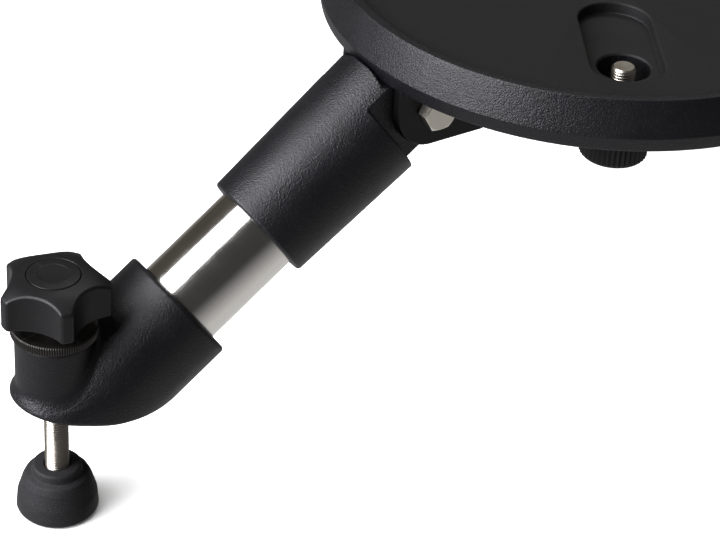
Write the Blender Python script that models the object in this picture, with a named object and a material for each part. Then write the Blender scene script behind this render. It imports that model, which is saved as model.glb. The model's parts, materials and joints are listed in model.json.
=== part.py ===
"""Three-legged base for a star tracker: a round tray on three folding legs with levelling feet.

Metres, +Z up. The origin is the centre of the tray's mounting face. The feet stand at Z = -STAND_HEIGHT.
Every leg is built once, pointing along +X, and is set at three azimuths. A leg's own shapes use its
tube line: X runs from the fold pivot down to the foot, Y across the leg, Z out of its upper side.
"""

import math

import bmesh
import bpy
from mathutils import Matrix, Vector

MM = 0.001
GAP = 0.3 * MM
STAND_HEIGHT = 186.0 * MM
LEG_AZIMUTHS = [math.radians(a) for a in (210.0, 330.0, 90.0)]
BOLT_AZIMUTHS = [math.radians(a) for a in (270.0, 30.0, 150.0)]

# Tray casting
LIP_TOP = 2.4 * MM
LIP_INNER_RADIUS = 106.6 * MM
LIP_OUTER_RADIUS = 111.8 * MM
BAND_RADIUS = 117.1 * MM
BAND_DROP = 11.7 * MM
SKIRT_RADIUS = 116.0 * MM
SKIRT_DROP = 17.9 * MM
SKIRT_INNER_RADIUS = 108.0 * MM
FLOOR_THICKNESS = 5.0 * MM
PAD_DROP = 8.0 * MM
HUB_RADIUS = 32.0 * MM
PILL_HALF_WIDTH = 14.8 * MM
PILL_DEPTH = 5.0 * MM
PILL_INNER = 44.0 * MM
PILL_OUTER = 80.0 * MM
PILL_WALL = 4.0 * MM

# Captive bolts
ROD_RADIUS = 5.0 * MM
ROD_HOLE = 5.3 * MM
BOLT_CIRCLE = 73.5 * MM
COUNTERBORE_RADIUS = 10.6 * MM
CLIP_LEDGE = 17.5 * MM
BOSS_DROP = 20.5 * MM
BOSS_RADIUS = 14.0 * MM
BOLT_TIP_DROP = 4.5 * MM
BOLT_KNOB_RADIUS = 13.9 * MM
BOLT_KNOB_TOP = 34.0 * MM
BOLT_KNOB_BOTTOM = 44.0 * MM
CLIP_RADIUS = 8.5 * MM
CLIP_THICKNESS = 1.0 * MM
GROOVE_RADIUS = 4.0 * MM

# Fork brackets and fold pivots
PIVOT_RADIUS = 96.0 * MM
PIVOT_DROP = 29.7 * MM
TONGUE_HALF = 16.2 * MM
EAR_INNER = 16.6 * MM
EAR_OUTER = 21.2 * MM
EAR_RADIUS = 17.0 * MM
BRACKET_BACK = 52.0 * MM
BRACKET_FRONT = 103.0 * MM
BRACKET_BASE = 5.9 * MM
HEX_FLATS = 14.2 * MM
HEAD_THICKNESS = 5.6 * MM
NUT_FLATS = 16.0 * MM
NUT_THICKNESS = 8.0 * MM
SCREW_RADIUS = 2.5 * MM
SCREW_SPOT = (65.0 * MM, 10.0 * MM)

# Legs
LEG_SLOPE = math.radians(35.68)
LEG_REACH = 195.7 * MM
TUBE_RADIUS = 19.05 * MM
TUBE_WALL = 1.6 * MM
TUBE_START = 30.0 * MM
TUBE_END = 140.0 * MM
SOCKET_BORE = 19.35 * MM
SLEEVE_MOUTH = 83.6 * MM
SLEEVE_MOUTH_RADIUS = 23.87 * MM
SLEEVE_TAPER = 0.029
TONGUE_STEP = 21.2 * MM
TONGUE_RADIUS = 14.7 * MM
TRAY_CLEARANCE = 0.6 * MM
UPPER_SET_SCREW = 60.0 * MM
LOWER_SET_SCREW = 133.5 * MM
SET_SCREW_HOLE = 3.3 * MM

# Foot castings and levelling feet, heights above the ground
FOOT_SOCKET_MOUTH = 127.1 * MM
FOOT_SOCKET_RADIUS = 25.8 * MM
FOOT_SOCKET_END = 232.0 * MM
FOOT_BOTTOM = 56.0 * MM
FOOT_BOSS_TOP = 86.9 * MM
FOOT_BOSS_RADIUS = 15.8 * MM
FOOT_TOE_RADIUS = 17.0 * MM
RING_RADIUS = 17.4 * MM
RING_BOTTOM = 87.3 * MM
RING_TOP = 91.45 * MM
KNOB_BOTTOM = 96.8 * MM
KNOB_TOP = 110.2 * MM
KNOB_TIP_RADIUS = 22.8 * MM
KNOB_TIP_WIDTH = 4.8 * MM
KNOB_VALLEY_RADIUS = 16.2 * MM
KNOB_DOME = 4.8 * MM
KNOB_HUB_RADIUS = 10.0 * MM
KNOB_LOBES = 5
KNOB_PHASE = math.radians(4.3)
CAP_RADIUS = 10.5 * MM
RUBBER_RADIUS = 16.9 * MM
RUBBER_TOP = 21.8 * MM
INSERT_RADIUS = 7.5 * MM
ROD_END = 7.0 * MM
ROD_TOP = 106.0 * MM

FOOT_RADIUS = PIVOT_RADIUS + LEG_REACH * math.cos(LEG_SLOPE)
TUBE_LINE = Matrix.Translation((PIVOT_RADIUS, 0, -PIVOT_DROP)) @ Matrix.Rotation(LEG_SLOPE, 4, "Y")
PIVOT_PLACE = Matrix.Translation((PIVOT_RADIUS, 0, -PIVOT_DROP))
FOOT_PLACE = Matrix.Translation((FOOT_RADIUS, 0, -STAND_HEIGHT))


def clear_scene():
    for old in list(bpy.data.objects):
        bpy.data.objects.remove(old, do_unlink=True)


def material(name, colour, roughness, metallic):
    made = bpy.data.materials.new(name)
    made.use_nodes = True
    shader = made.node_tree.nodes["Principled BSDF"]
    shader.inputs["Base Color"].default_value = (*colour, 1.0)
    shader.inputs["Roughness"].default_value = roughness
    shader.inputs["Metallic"].default_value = metallic
    return made


def temporary(mesh):
    """An object that only carries a mesh through a modifier."""
    carrier = bpy.data.objects.new("temporary", mesh)
    bpy.context.scene.collection.objects.link(carrier)
    return carrier


def as_mesh(bm):
    bmesh.ops.recalc_face_normals(bm, faces=bm.faces)
    if bm.calc_volume(signed=True) < 0:
        bmesh.ops.reverse_faces(bm, faces=bm.faces)
    mesh = bpy.data.meshes.new("shape")
    bm.to_mesh(mesh)
    bm.free()
    return mesh


def turned(profile, segments, axis="Z"):
    """A closed solid turned from (radius, height) points that run from the axis round to the axis."""
    bm = bmesh.new()
    points = [bm.verts.new((radius, 0, height)) for radius, height in profile]
    closed = profile[0][0] > 0
    ends = zip(points, points[1:] + points[:1]) if closed else zip(points, points[1:])
    edges = [bm.edges.new(pair) for pair in ends]
    bmesh.ops.spin(
        bm, geom=points + edges, cent=(0, 0, 0), axis=(0, 0, 1), angle=math.tau,
        steps=segments, use_merge=True,
    )
    bmesh.ops.remove_doubles(bm, verts=bm.verts, dist=1e-6)
    centres = [v for v in bm.verts if math.hypot(v.co.x, v.co.y) < 1e-7]
    bmesh.ops.dissolve_verts(bm, verts=centres)
    if axis == "X":
        bm.transform(Matrix.Rotation(math.pi / 2, 4, "Y"))
    if axis == "Y":
        bm.transform(Matrix.Rotation(-math.pi / 2, 4, "X"))
    return as_mesh(bm)


def rod(radius, low, high, segments=12, axis="Z"):
    return turned([(0, low), (radius, low), (radius, high), (0, high)], segments, axis)


def prism(outline, low, high, axis="Z"):
    """An outline in XY drawn out along Z from low to high. With axis "Y" the outline is in XZ, and the
    solid lies from Y = -high to Y = -low."""
    bm = bmesh.new()
    face = bm.faces.new([bm.verts.new((x, y, low)) for x, y in outline])
    moved = bmesh.ops.extrude_face_region(bm, geom=[face])["geom"]
    top = [v for v in moved if isinstance(v, bmesh.types.BMVert)]
    bmesh.ops.translate(bm, verts=top, vec=(0, 0, high - low))
    if axis == "Y":
        bm.transform(Matrix.Rotation(math.pi / 2, 4, "X"))
    return as_mesh(bm)


def arc(centre, radius, start, end, steps):
    """Points along an arc, both ends included, angles in degrees."""
    angles = [math.radians(start + (end - start) * i / steps) for i in range(steps + 1)]
    return [(centre[0] + radius * math.cos(a), centre[1] + radius * math.sin(a)) for a in angles]


def placed(mesh, matrix):
    copy = mesh.copy()
    copy.transform(matrix)
    return copy


def combined(base, operation, *others):
    """The base mesh after one Boolean for each of the others."""
    target = temporary(base)
    tools = [temporary(mesh) for mesh in others]
    for tool in tools:
        step = target.modifiers.new(operation.title(), "BOOLEAN")
        step.operation = operation
        step.solver = "EXACT"
        step.object = tool
    graph = bpy.context.evaluated_depsgraph_get()
    result = bpy.data.meshes.new_from_object(target.evaluated_get(graph))
    for used in [target] + tools:
        bpy.data.objects.remove(used, do_unlink=True)
    return result


def add_node(name, mesh, finish, parent, place=Matrix.Identity(4)):
    mesh.shade_smooth()
    mesh.set_sharp_from_angle(angle=math.radians(30))
    mesh.materials.clear()
    mesh.materials.append(finish)
    node = bpy.data.objects.new(name, mesh)
    bpy.context.scene.collection.objects.link(node)
    node.parent = parent
    node.matrix_local = place
    return node


def empty(name, parent=None, place=Matrix.Identity(4)):
    made = bpy.data.objects.new(name, None)
    bpy.context.scene.collection.objects.link(made)
    made.parent = parent
    made.matrix_local = place
    return made


def pill(half_width, inner, outer):
    return arc((outer, 0), half_width, -90, 90, 6) + arc((inner, 0), half_width, 90, 270, 6)


def tray_shape():
    """The tray: a turned dish, with leg pads, pill pockets and bolt bosses added and cut."""
    under = -FLOOR_THICKNESS
    profile = [
        (0, 0), (LIP_INNER_RADIUS, 0), (LIP_INNER_RADIUS + 1 * MM, LIP_TOP),
        (LIP_OUTER_RADIUS, LIP_TOP), (BAND_RADIUS, -BAND_DROP), (SKIRT_RADIUS, -SKIRT_DROP),
        (SKIRT_INNER_RADIUS, -SKIRT_DROP), (SKIRT_INNER_RADIUS - 3 * MM, under), (0, under),
    ]
    dish = turned(profile, 48)
    inside = under + 2 * MM
    added, cut = [rod(HUB_RADIUS, -PILL_DEPTH - FLOOR_THICKNESS, inside, 24)], []
    for azimuth in LEG_AZIMUTHS:
        turn = Matrix.Rotation(azimuth, 4, "Z")
        half = EAR_OUTER
        pad = [(BRACKET_BACK, -half), (BRACKET_FRONT, -half), (BRACKET_FRONT, half), (BRACKET_BACK, half)]
        added.append(placed(prism(pad, -PAD_DROP, inside), turn))
        for side in (-1, 1):
            hole = rod(SCREW_RADIUS + GAP, -PAD_DROP - 1 * MM, -2 * MM, 8)
            spot = Matrix.Translation((SCREW_SPOT[0], side * SCREW_SPOT[1], 0))
            cut.append(placed(hole, turn @ spot))
    for azimuth in BOLT_AZIMUTHS:
        turn = Matrix.Rotation(azimuth, 4, "Z")
        spot = turn @ Matrix.Translation((BOLT_CIRCLE, 0, 0))
        outer_pill = pill(PILL_HALF_WIDTH + PILL_WALL, PILL_INNER, PILL_OUTER)
        added.append(placed(prism(outer_pill, -PILL_DEPTH - FLOOR_THICKNESS, inside), turn))
        added.append(placed(rod(BOSS_RADIUS, -BOSS_DROP, inside, 20), spot))
        pocket = prism(pill(PILL_HALF_WIDTH, PILL_INNER, PILL_OUTER), -PILL_DEPTH, 6 * MM)
        drilled = turned([
            (0, -BOSS_DROP - 5 * MM), (ROD_HOLE + GAP, -BOSS_DROP - 5 * MM),
            (ROD_HOLE + GAP, -CLIP_LEDGE), (COUNTERBORE_RADIUS, -CLIP_LEDGE),
            (COUNTERBORE_RADIUS, 3 * MM), (0, 3 * MM),
        ], 16)
        cut.append(placed(pocket, turn))
        cut.append(placed(drilled, spot))
    return combined(combined(dish, "UNION", *added), "DIFFERENCE", *cut)


def bracket_shape():
    """The fork: a base bolted under the tray, two rounded ears and a web behind them."""
    top = -PAD_DROP - GAP
    under_rim = -SKIRT_DROP - GAP
    edge = PIVOT_RADIUS + EAR_RADIUS
    low = -PIVOT_DROP - EAR_RADIUS
    ear = [(BRACKET_BACK, top), (BRACKET_BACK, -24 * MM), (BRACKET_BACK + 16 * MM, low)]
    ear += arc((PIVOT_RADIUS, -PIVOT_DROP), EAR_RADIUS, -90, 0, 6)
    ear += [(edge, under_rim), (BRACKET_FRONT, under_rim), (BRACKET_FRONT, top)]
    block = prism(ear, -EAR_OUTER, EAR_OUTER, "Y")
    throat = [
        (BRACKET_BACK + 6 * MM, top - BRACKET_BASE), (BRACKET_BACK + 6 * MM, -70 * MM),
        (130 * MM, -70 * MM), (130 * MM, top - BRACKET_BASE),
    ]
    holes = [rod(ROD_HOLE, -30 * MM, 30 * MM, 12, "Y")]
    holes[0].transform(PIVOT_PLACE)
    for side in (-1, 1):
        spot = Matrix.Translation((SCREW_SPOT[0], side * SCREW_SPOT[1], 0))
        holes.append(placed(rod(SCREW_RADIUS + GAP, -20 * MM, 0, 8), spot))
    return combined(block, "DIFFERENCE", prism(throat, -EAR_INNER, EAR_INNER, "Y"), *holes)


def bracket_screw_shape():
    """A button-head screw, head down, its shank up through the base into the tray's pad."""
    seat = -PAD_DROP - GAP - BRACKET_BASE - GAP
    profile = [
        (0, seat - 2 * MM), (1.5 * MM, seat - 2 * MM), (1.5 * MM, seat - 3 * MM),
        (3 * MM, seat - 3 * MM), (4.7 * MM, seat - 1.2 * MM), (4.7 * MM, seat),
        (SCREW_RADIUS, seat), (SCREW_RADIUS, -3 * MM), (0, -3 * MM),
    ]
    return turned(profile, 8)


def hexagon(flats):
    corner = flats / math.sqrt(3)
    return [(corner * math.cos(math.radians(60 * i)), corner * math.sin(math.radians(60 * i)))
            for i in range(6)]


def pivot_bolt_shape():
    """Hex-head bolt across the fork. The head is on the +Y ear."""
    seat = EAR_OUTER + GAP
    head = prism(hexagon(HEX_FLATS), -seat - HEAD_THICKNESS, -seat, "Y")
    shank = rod(ROD_RADIUS, -seat - NUT_THICKNESS - 3 * MM, seat + 2 * MM, 12, "Y")
    return combined(head, "UNION", shank)


def pivot_nut_shape():
    """The nut on the -Y ear, with clearance where its thread would be."""
    seat = EAR_OUTER + GAP
    nut = prism(hexagon(NUT_FLATS), seat, seat + NUT_THICKNESS, "Y")
    return combined(nut, "DIFFERENCE", rod(ROD_HOLE, -50 * MM, 0, 12, "Y"))


def sleeve_radius(along):
    return SLEEVE_MOUTH_RADIUS + SLEEVE_TAPER * (SLEEVE_MOUTH - along)


def leg_casting_shape():
    """The upper sleeve, bored for the tube, its top end cut to a tongue that fits between the ears."""
    chamfer = 1.2 * MM
    body = turned([
        (0, TONGUE_STEP), (sleeve_radius(TONGUE_STEP), TONGUE_STEP),
        (sleeve_radius(SLEEVE_MOUTH), SLEEVE_MOUTH - chamfer),
        (sleeve_radius(SLEEVE_MOUTH) - chamfer, SLEEVE_MOUTH), (0, SLEEVE_MOUTH),
    ], 24, "X")
    neck_end = TONGUE_STEP + 4 * MM
    neck = turned([
        (0, -TONGUE_RADIUS), (sleeve_radius(-TONGUE_RADIUS), -TONGUE_RADIUS),
        (sleeve_radius(neck_end), neck_end), (0, neck_end),
    ], 24, "X")
    high = 40 * MM
    outline = [(neck_end, high), (-TONGUE_RADIUS, high)]
    outline += arc((0, 0), TONGUE_RADIUS, 180, 270, 6) + [(neck_end, -TONGUE_RADIUS)]
    tongue = combined(neck, "INTERSECT", prism(outline, -TONGUE_HALF, TONGUE_HALF, "Y"))
    whole = combined(body, "UNION", tongue)
    tray = rod(BAND_RADIUS + TRAY_CLEARANCE, -SKIRT_DROP - TRAY_CLEARANCE, 60 * MM, 48)
    tray.transform(TUBE_LINE.inverted())
    bore = rod(SOCKET_BORE, TUBE_START - 2 * MM, 120 * MM, 24, "X")
    eye = rod(ROD_HOLE, -30 * MM, 30 * MM, 12, "Y")
    grub = rod(SET_SCREW_HOLE, -40 * MM, -10 * MM)
    grub.transform(Matrix.Translation((UPPER_SET_SCREW, 0, 0)))
    return combined(whole, "DIFFERENCE", tray, bore, eye, grub)


def grub_screw_shape(outer):
    """A short set screw that points at the tube from below, with a socket in its outer end."""
    inner = -TUBE_RADIUS - GAP
    return turned([
        (0, inner), (3 * MM, inner), (3 * MM, outer), (1.5 * MM, outer), (1.5 * MM, outer + 1.8 * MM),
        (0, outer + 1.8 * MM),
    ], 8)


def leg_tube_shape():
    inner = TUBE_RADIUS - TUBE_WALL
    return turned([
        (TUBE_RADIUS, TUBE_START), (TUBE_RADIUS, TUBE_END), (inner, TUBE_END), (inner, TUBE_START),
    ], 24, "X")


def foot_casting_shape():
    """An upright boss for the levelling screw, run together with the slanting socket of the tube."""
    bottom, top = FOOT_BOTTOM, FOOT_BOSS_TOP
    to_foot = FOOT_PLACE.inverted() @ TUBE_LINE
    socket = turned([
        (0, FOOT_SOCKET_MOUTH), (FOOT_SOCKET_RADIUS - 1.5 * MM, FOOT_SOCKET_MOUTH),
        (FOOT_SOCKET_RADIUS, FOOT_SOCKET_MOUTH + 1.5 * MM),
        (FOOT_SOCKET_RADIUS, FOOT_SOCKET_END), (0, FOOT_SOCKET_END),
    ], 24, "X")
    socket.transform(to_foot)
    flare = math.degrees(math.asin((FOOT_SOCKET_RADIUS + 1 * MM - FOOT_TOE_RADIUS) / (34 * MM)))
    toe = arc((0, 0), FOOT_TOE_RADIUS, -90 + flare, 90 - flare, 8)
    toe += arc((-34 * MM, 0), FOOT_SOCKET_RADIUS + 1 * MM, 90 - flare, 90, 2)
    back = FOOT_SOCKET_RADIUS + 1 * MM
    toe += [(-120 * MM, back), (-120 * MM, -back)]
    toe += arc((-34 * MM, 0), back, -90, -90 + flare, 2)
    trimmed = combined(socket, "INTERSECT", prism(toe, bottom, 160 * MM))
    boss = turned([
        (0, bottom), (FOOT_BOSS_RADIUS - 2.5 * MM, bottom), (FOOT_BOSS_RADIUS, bottom + 3 * MM),
        (FOOT_BOSS_RADIUS, top - 1 * MM), (FOOT_BOSS_RADIUS - 1 * MM, top), (0, top),
    ], 20)
    whole = combined(trimmed, "UNION", boss)
    bore = rod(SOCKET_BORE, 100 * MM, TUBE_END + 1 * MM, 24, "X")
    bore.transform(to_foot)
    grub = rod(SET_SCREW_HOLE, -40 * MM, -10 * MM)
    grub.transform(to_foot @ Matrix.Translation((LOWER_SET_SCREW, 0, 0)))
    return combined(whole, "DIFFERENCE", bore, grub, rod(ROD_HOLE, 0, 120 * MM, 12))


def ring_shape(outer, inner, low, high, segments, chamfer):
    return turned([
        (outer, low + chamfer), (outer, high - chamfer), (outer - chamfer, high), (inner, high),
        (inner, low), (outer - chamfer, low),
    ], segments)


def levelling_screw_shape():
    return turned([
        (0, ROD_END), (ROD_RADIUS - 1 * MM, ROD_END), (ROD_RADIUS, ROD_END + 1 * MM),
        (ROD_RADIUS, ROD_TOP), (0, ROD_TOP),
    ], 12)


def knob_outline():
    """Five flat tips joined by hollow arcs. Each arc runs through two tip corners and the valley point."""
    half_pitch = math.pi / KNOB_LOBES
    half_tip = math.asin(KNOB_TIP_WIDTH / 2 / KNOB_TIP_RADIUS)
    across = KNOB_TIP_RADIUS * math.sin(half_pitch - half_tip)
    rise = KNOB_TIP_RADIUS * math.cos(half_pitch - half_tip) - KNOB_VALLEY_RADIUS
    scoop = (across ** 2 + rise ** 2) / (2 * rise)
    reach = math.degrees(math.asin(across / scoop))
    if rise > scoop:
        reach = 180 - reach
    points = []
    for i in range(KNOB_LOBES):
        middle = KNOB_PHASE + half_pitch * (2 * i + 1)
        centre = ((KNOB_VALLEY_RADIUS + scoop) * math.cos(middle),
                  (KNOB_VALLEY_RADIUS + scoop) * math.sin(middle))
        facing = math.degrees(middle) + 180
        points += arc(centre, scoop, facing + reach, facing - reach, 6)
    return points


def dome_height(radius):
    """Height of the knob's top: flat in the middle, falling ever faster towards the tips."""
    return KNOB_TOP + KNOB_DOME * (1 - (radius / KNOB_TIP_RADIUS) ** 3.4)


def domed_grip():
    """The lobed outline drawn up from its flat underside, under a top of shrinking copies on the dome."""
    outline = knob_outline()
    bm = bmesh.new()
    rings = [[bm.verts.new((x, y, KNOB_BOTTOM)) for x, y in outline]]
    for share in (1, 0.9, 0.78, 0.62):
        rings.append([bm.verts.new((x * share, y * share, dome_height(math.hypot(x, y) * share)))
                      for x, y in outline])
    for low, high in zip(rings, rings[1:]):
        for i, here in enumerate(low):
            after = (i + 1) % len(low)
            bm.faces.new((here, low[after], high[after], high[i]))
    for ring, level in ((rings[0], KNOB_BOTTOM), (rings[-1], KNOB_TOP + KNOB_DOME)):
        middle = bm.verts.new((0, 0, level))
        for i, here in enumerate(ring):
            bm.faces.new((here, ring[(i + 1) % len(ring)], middle))
    bmesh.ops.triangulate(bm, faces=bm.faces)
    bmesh.ops.recalc_face_normals(bm, faces=bm.faces)
    return as_mesh(bm)


def star_knob_shape():
    """Lobed grip over a short hub, drilled from below for the screw and recessed on top for the cap."""
    grip = domed_grip()
    hub = rod(KNOB_HUB_RADIUS, KNOB_BOTTOM - 0.8 * MM, KNOB_BOTTOM + 2 * MM, 16)
    bore = rod(ROD_HOLE, 80 * MM, ROD_TOP + GAP, 12)
    seat = rod(CAP_RADIUS + GAP, KNOB_TOP + 2.7 * MM, KNOB_TOP + 9 * MM, 24)
    return combined(combined(grip, "UNION", hub), "DIFFERENCE", bore, seat)


def knob_cap_shape():
    low = KNOB_TOP + 3.0 * MM
    return turned([
        (0, low), (CAP_RADIUS, low), (CAP_RADIUS, low + 1.5 * MM), (CAP_RADIUS * 0.7, low + 1.9 * MM),
        (0, low + 2.1 * MM),
    ], 24)


def rubber_foot_shape():
    """A stepped rubber cone with a bore that grips the threaded insert and lets the screw in."""
    pocket = INSERT_RADIUS + GAP
    return turned([
        (0, 0), (RUBBER_RADIUS - 1.3 * MM, 0), (RUBBER_RADIUS, 1.5 * MM), (14.2 * MM, 15.2 * MM),
        (12.8 * MM, 17.4 * MM), (10.4 * MM, 18.2 * MM), (10 * MM, RUBBER_TOP - 0.8 * MM),
        (9 * MM, RUBBER_TOP), (ROD_HOLE, RUBBER_TOP), (ROD_HOLE, 16.3 * MM), (pocket, 16.3 * MM),
        (pocket, 5.7 * MM), (0, 5.7 * MM),
    ], 16)


def captive_bolt_shape():
    """Shank, clip groove and chamfered tip, hanging below the pocket."""
    tip = -BOLT_TIP_DROP
    low = -BOLT_KNOB_BOTTOM + 3.3 * MM
    clip = -CLIP_LEDGE + GAP
    return turned([
        (0, low), (ROD_RADIUS, low), (ROD_RADIUS, clip - GAP), (GROOVE_RADIUS, clip - GAP),
        (GROOVE_RADIUS, clip + CLIP_THICKNESS + GAP), (ROD_RADIUS, clip + CLIP_THICKNESS + GAP),
        (ROD_RADIUS, tip - 1 * MM), (ROD_RADIUS - 1 * MM, tip), (0, tip),
    ], 12)


def bolt_knob_shape():
    low, high = -BOLT_KNOB_BOTTOM, -BOLT_KNOB_TOP
    return turned([
        (0, low), (BOLT_KNOB_RADIUS - 1 * MM, low), (BOLT_KNOB_RADIUS, low + 1 * MM),
        (BOLT_KNOB_RADIUS, high - 1 * MM), (BOLT_KNOB_RADIUS - 1 * MM, high), (ROD_HOLE, high),
        (ROD_HOLE, low + 3 * MM), (0, low + 3 * MM),
    ], 16)


def build_leg(number, azimuth, shapes, finish):
    """One leg with its bracket, named with its number and turned to its azimuth."""
    turn = Matrix.Rotation(azimuth, 4, "Z")
    base = empty(f"leg_{number}_seat", place=turn)
    pivot = empty(f"leg_{number}_fold_axis", base, PIVOT_PLACE)
    tube_line = empty(f"leg_{number}_tube_line", pivot, Matrix.Rotation(LEG_SLOPE, 4, "Y"))
    foot = empty(f"leg_{number}_screw_axis", pivot, PIVOT_PLACE.inverted() @ FOOT_PLACE)
    add_node(f"fork_bracket_{number}", shapes["bracket"], finish["satin"], base)
    for letter, side in (("a", -1), ("b", 1)):
        spot = Matrix.Translation((SCREW_SPOT[0], side * SCREW_SPOT[1], 0))
        add_node(f"bracket_screw_{number}{letter}", shapes["bracket_screw"], finish["dark"], base, spot)
    add_node(f"pivot_bolt_{number}", shapes["pivot_bolt"], finish["steel"], base, PIVOT_PLACE)
    add_node(f"pivot_nut_{number}", shapes["pivot_nut"], finish["steel"], base, PIVOT_PLACE)
    add_node(f"leg_casting_{number}", shapes["leg_casting"], finish["casting"], tube_line)
    add_node(f"leg_tube_{number}", shapes["leg_tube"], finish["tube"], tube_line)
    upper = Matrix.Translation((UPPER_SET_SCREW, 0, 0))
    lower = Matrix.Translation((LOWER_SET_SCREW, 0, 0))
    add_node(f"upper_set_screw_{number}", shapes["upper_grub"], finish["dark"], tube_line, upper)
    add_node(f"lower_set_screw_{number}", shapes["lower_grub"], finish["dark"], tube_line, lower)
    add_node(f"foot_casting_{number}", shapes["foot_casting"], finish["casting"], foot)
    add_node(f"lock_ring_{number}", shapes["lock_ring"], finish["dark"], foot)
    add_node(f"levelling_screw_{number}", shapes["levelling_screw"], finish["steel"], foot)
    add_node(f"star_knob_{number}", shapes["star_knob"], finish["plastic"], foot)
    add_node(f"knob_cap_{number}", shapes["knob_cap"], finish["plastic"], foot)
    add_node(f"rubber_foot_{number}", shapes["rubber_foot"], finish["rubber"], foot)
    add_node(f"foot_insert_{number}", shapes["foot_insert"], finish["steel"], foot)


def build_captive_bolt(number, azimuth, shapes, finish):
    place = Matrix.Rotation(azimuth, 4, "Z") @ Matrix.Translation((BOLT_CIRCLE, 0, 0))
    axis = empty(f"captive_bolt_{number}_axis", place=place)
    add_node(f"captive_bolt_{number}", shapes["captive_bolt"], finish["steel"], axis)
    add_node(f"bolt_knob_{number}", shapes["bolt_knob"], finish["plastic"], axis)
    add_node(f"retaining_clip_{number}", shapes["clip"], finish["steel"], axis)


def main():
    clear_scene()
    finish = {
        "casting": material("powder_coat", (0.020, 0.020, 0.024), 0.42, 0.0),
        "satin": material("satin_black", (0.012, 0.012, 0.013), 0.35, 0.0),
        "tube": material("brushed_tube", (0.62, 0.60, 0.57), 0.25, 1.0),
        "steel": material("bright_steel", (0.66, 0.62, 0.57), 0.22, 1.0),
        "dark": material("black_hardware", (0.020, 0.020, 0.021), 0.40, 0.6),
        "plastic": material("black_plastic", (0.014, 0.014, 0.015), 0.38, 0.0),
        "rubber": material("black_rubber", (0.022, 0.022, 0.023), 0.75, 0.0),
    }
    clip_low = -CLIP_LEDGE + GAP
    shapes = {
        "bracket": bracket_shape(),
        "bracket_screw": bracket_screw_shape(),
        "pivot_bolt": pivot_bolt_shape(),
        "pivot_nut": pivot_nut_shape(),
        "leg_casting": leg_casting_shape(),
        "leg_tube": leg_tube_shape(),
        "upper_grub": grub_screw_shape(-sleeve_radius(UPPER_SET_SCREW) + 0.6 * MM),
        "lower_grub": grub_screw_shape(-FOOT_SOCKET_RADIUS + 0.6 * MM),
        "foot_casting": foot_casting_shape(),
        "lock_ring": ring_shape(RING_RADIUS, ROD_HOLE, RING_BOTTOM, RING_TOP, 20, 0.5 * MM),
        "levelling_screw": levelling_screw_shape(),
        "star_knob": star_knob_shape(),
        "knob_cap": knob_cap_shape(),
        "rubber_foot": rubber_foot_shape(),
        "foot_insert": ring_shape(INSERT_RADIUS, ROD_HOLE, 6 * MM, 16 * MM, 12, 0.4 * MM),
        "captive_bolt": captive_bolt_shape(),
        "bolt_knob": bolt_knob_shape(),
        "clip": ring_shape(
            CLIP_RADIUS, GROOVE_RADIUS + GAP, clip_low, clip_low + CLIP_THICKNESS, 12, 0.2 * MM
        ),
    }
    add_node("tray_casting", tray_shape(), finish["casting"], None)
    for number, azimuth in enumerate(LEG_AZIMUTHS, start=1):
        build_leg(number, azimuth, shapes, finish)
    for number, azimuth in enumerate(BOLT_AZIMUTHS, start=1):
        build_captive_bolt(number, azimuth, shapes, finish)


main()
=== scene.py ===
"""Low three-legged base for a star tracker: the looks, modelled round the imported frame.

Metres, in the frame's own axes. The tray's floor is at Z = 0. A leg's own shapes use its tube line: X runs
down the tube from the fold pivot, Y across the leg, Z out of its upper side. A foot's own shapes use the
levelling screw: Z up from the ground, X away from the tray.
"""

import json
import math

import bpy
import numpy as np
from mathutils import Matrix, Vector


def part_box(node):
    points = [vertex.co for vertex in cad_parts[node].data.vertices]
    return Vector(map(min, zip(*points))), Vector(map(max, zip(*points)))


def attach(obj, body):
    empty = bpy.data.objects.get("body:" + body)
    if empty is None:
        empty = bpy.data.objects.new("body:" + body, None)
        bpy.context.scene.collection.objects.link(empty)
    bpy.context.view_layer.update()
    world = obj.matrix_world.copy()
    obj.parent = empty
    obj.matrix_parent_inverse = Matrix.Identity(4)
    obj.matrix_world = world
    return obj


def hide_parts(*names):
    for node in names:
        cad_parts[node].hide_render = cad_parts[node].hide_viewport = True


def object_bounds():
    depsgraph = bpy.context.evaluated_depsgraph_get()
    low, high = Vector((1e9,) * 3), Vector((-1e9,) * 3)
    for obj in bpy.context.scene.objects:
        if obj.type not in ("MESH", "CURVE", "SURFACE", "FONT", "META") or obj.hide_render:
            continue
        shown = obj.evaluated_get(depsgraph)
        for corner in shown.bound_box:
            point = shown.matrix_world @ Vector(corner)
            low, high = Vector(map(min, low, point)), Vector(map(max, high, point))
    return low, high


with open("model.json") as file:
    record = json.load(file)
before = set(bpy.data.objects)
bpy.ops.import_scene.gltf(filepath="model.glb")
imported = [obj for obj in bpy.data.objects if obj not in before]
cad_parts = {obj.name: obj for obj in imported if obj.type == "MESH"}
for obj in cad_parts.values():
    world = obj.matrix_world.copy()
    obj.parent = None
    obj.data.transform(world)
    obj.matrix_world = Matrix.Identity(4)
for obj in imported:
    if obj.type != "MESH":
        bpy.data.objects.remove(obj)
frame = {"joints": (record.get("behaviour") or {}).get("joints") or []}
CAD_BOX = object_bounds()

bl_info = {
    "name": "Star tracker base",
    "version": (1, 0, 0),
    "blender": (4, 5, 0),
    "location": "View3D > Sidebar > Tracker base",
    "description": "Builds the finished surfaces of a low three-legged tracker base round its frame",
    "category": "Add Mesh",
}

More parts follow.
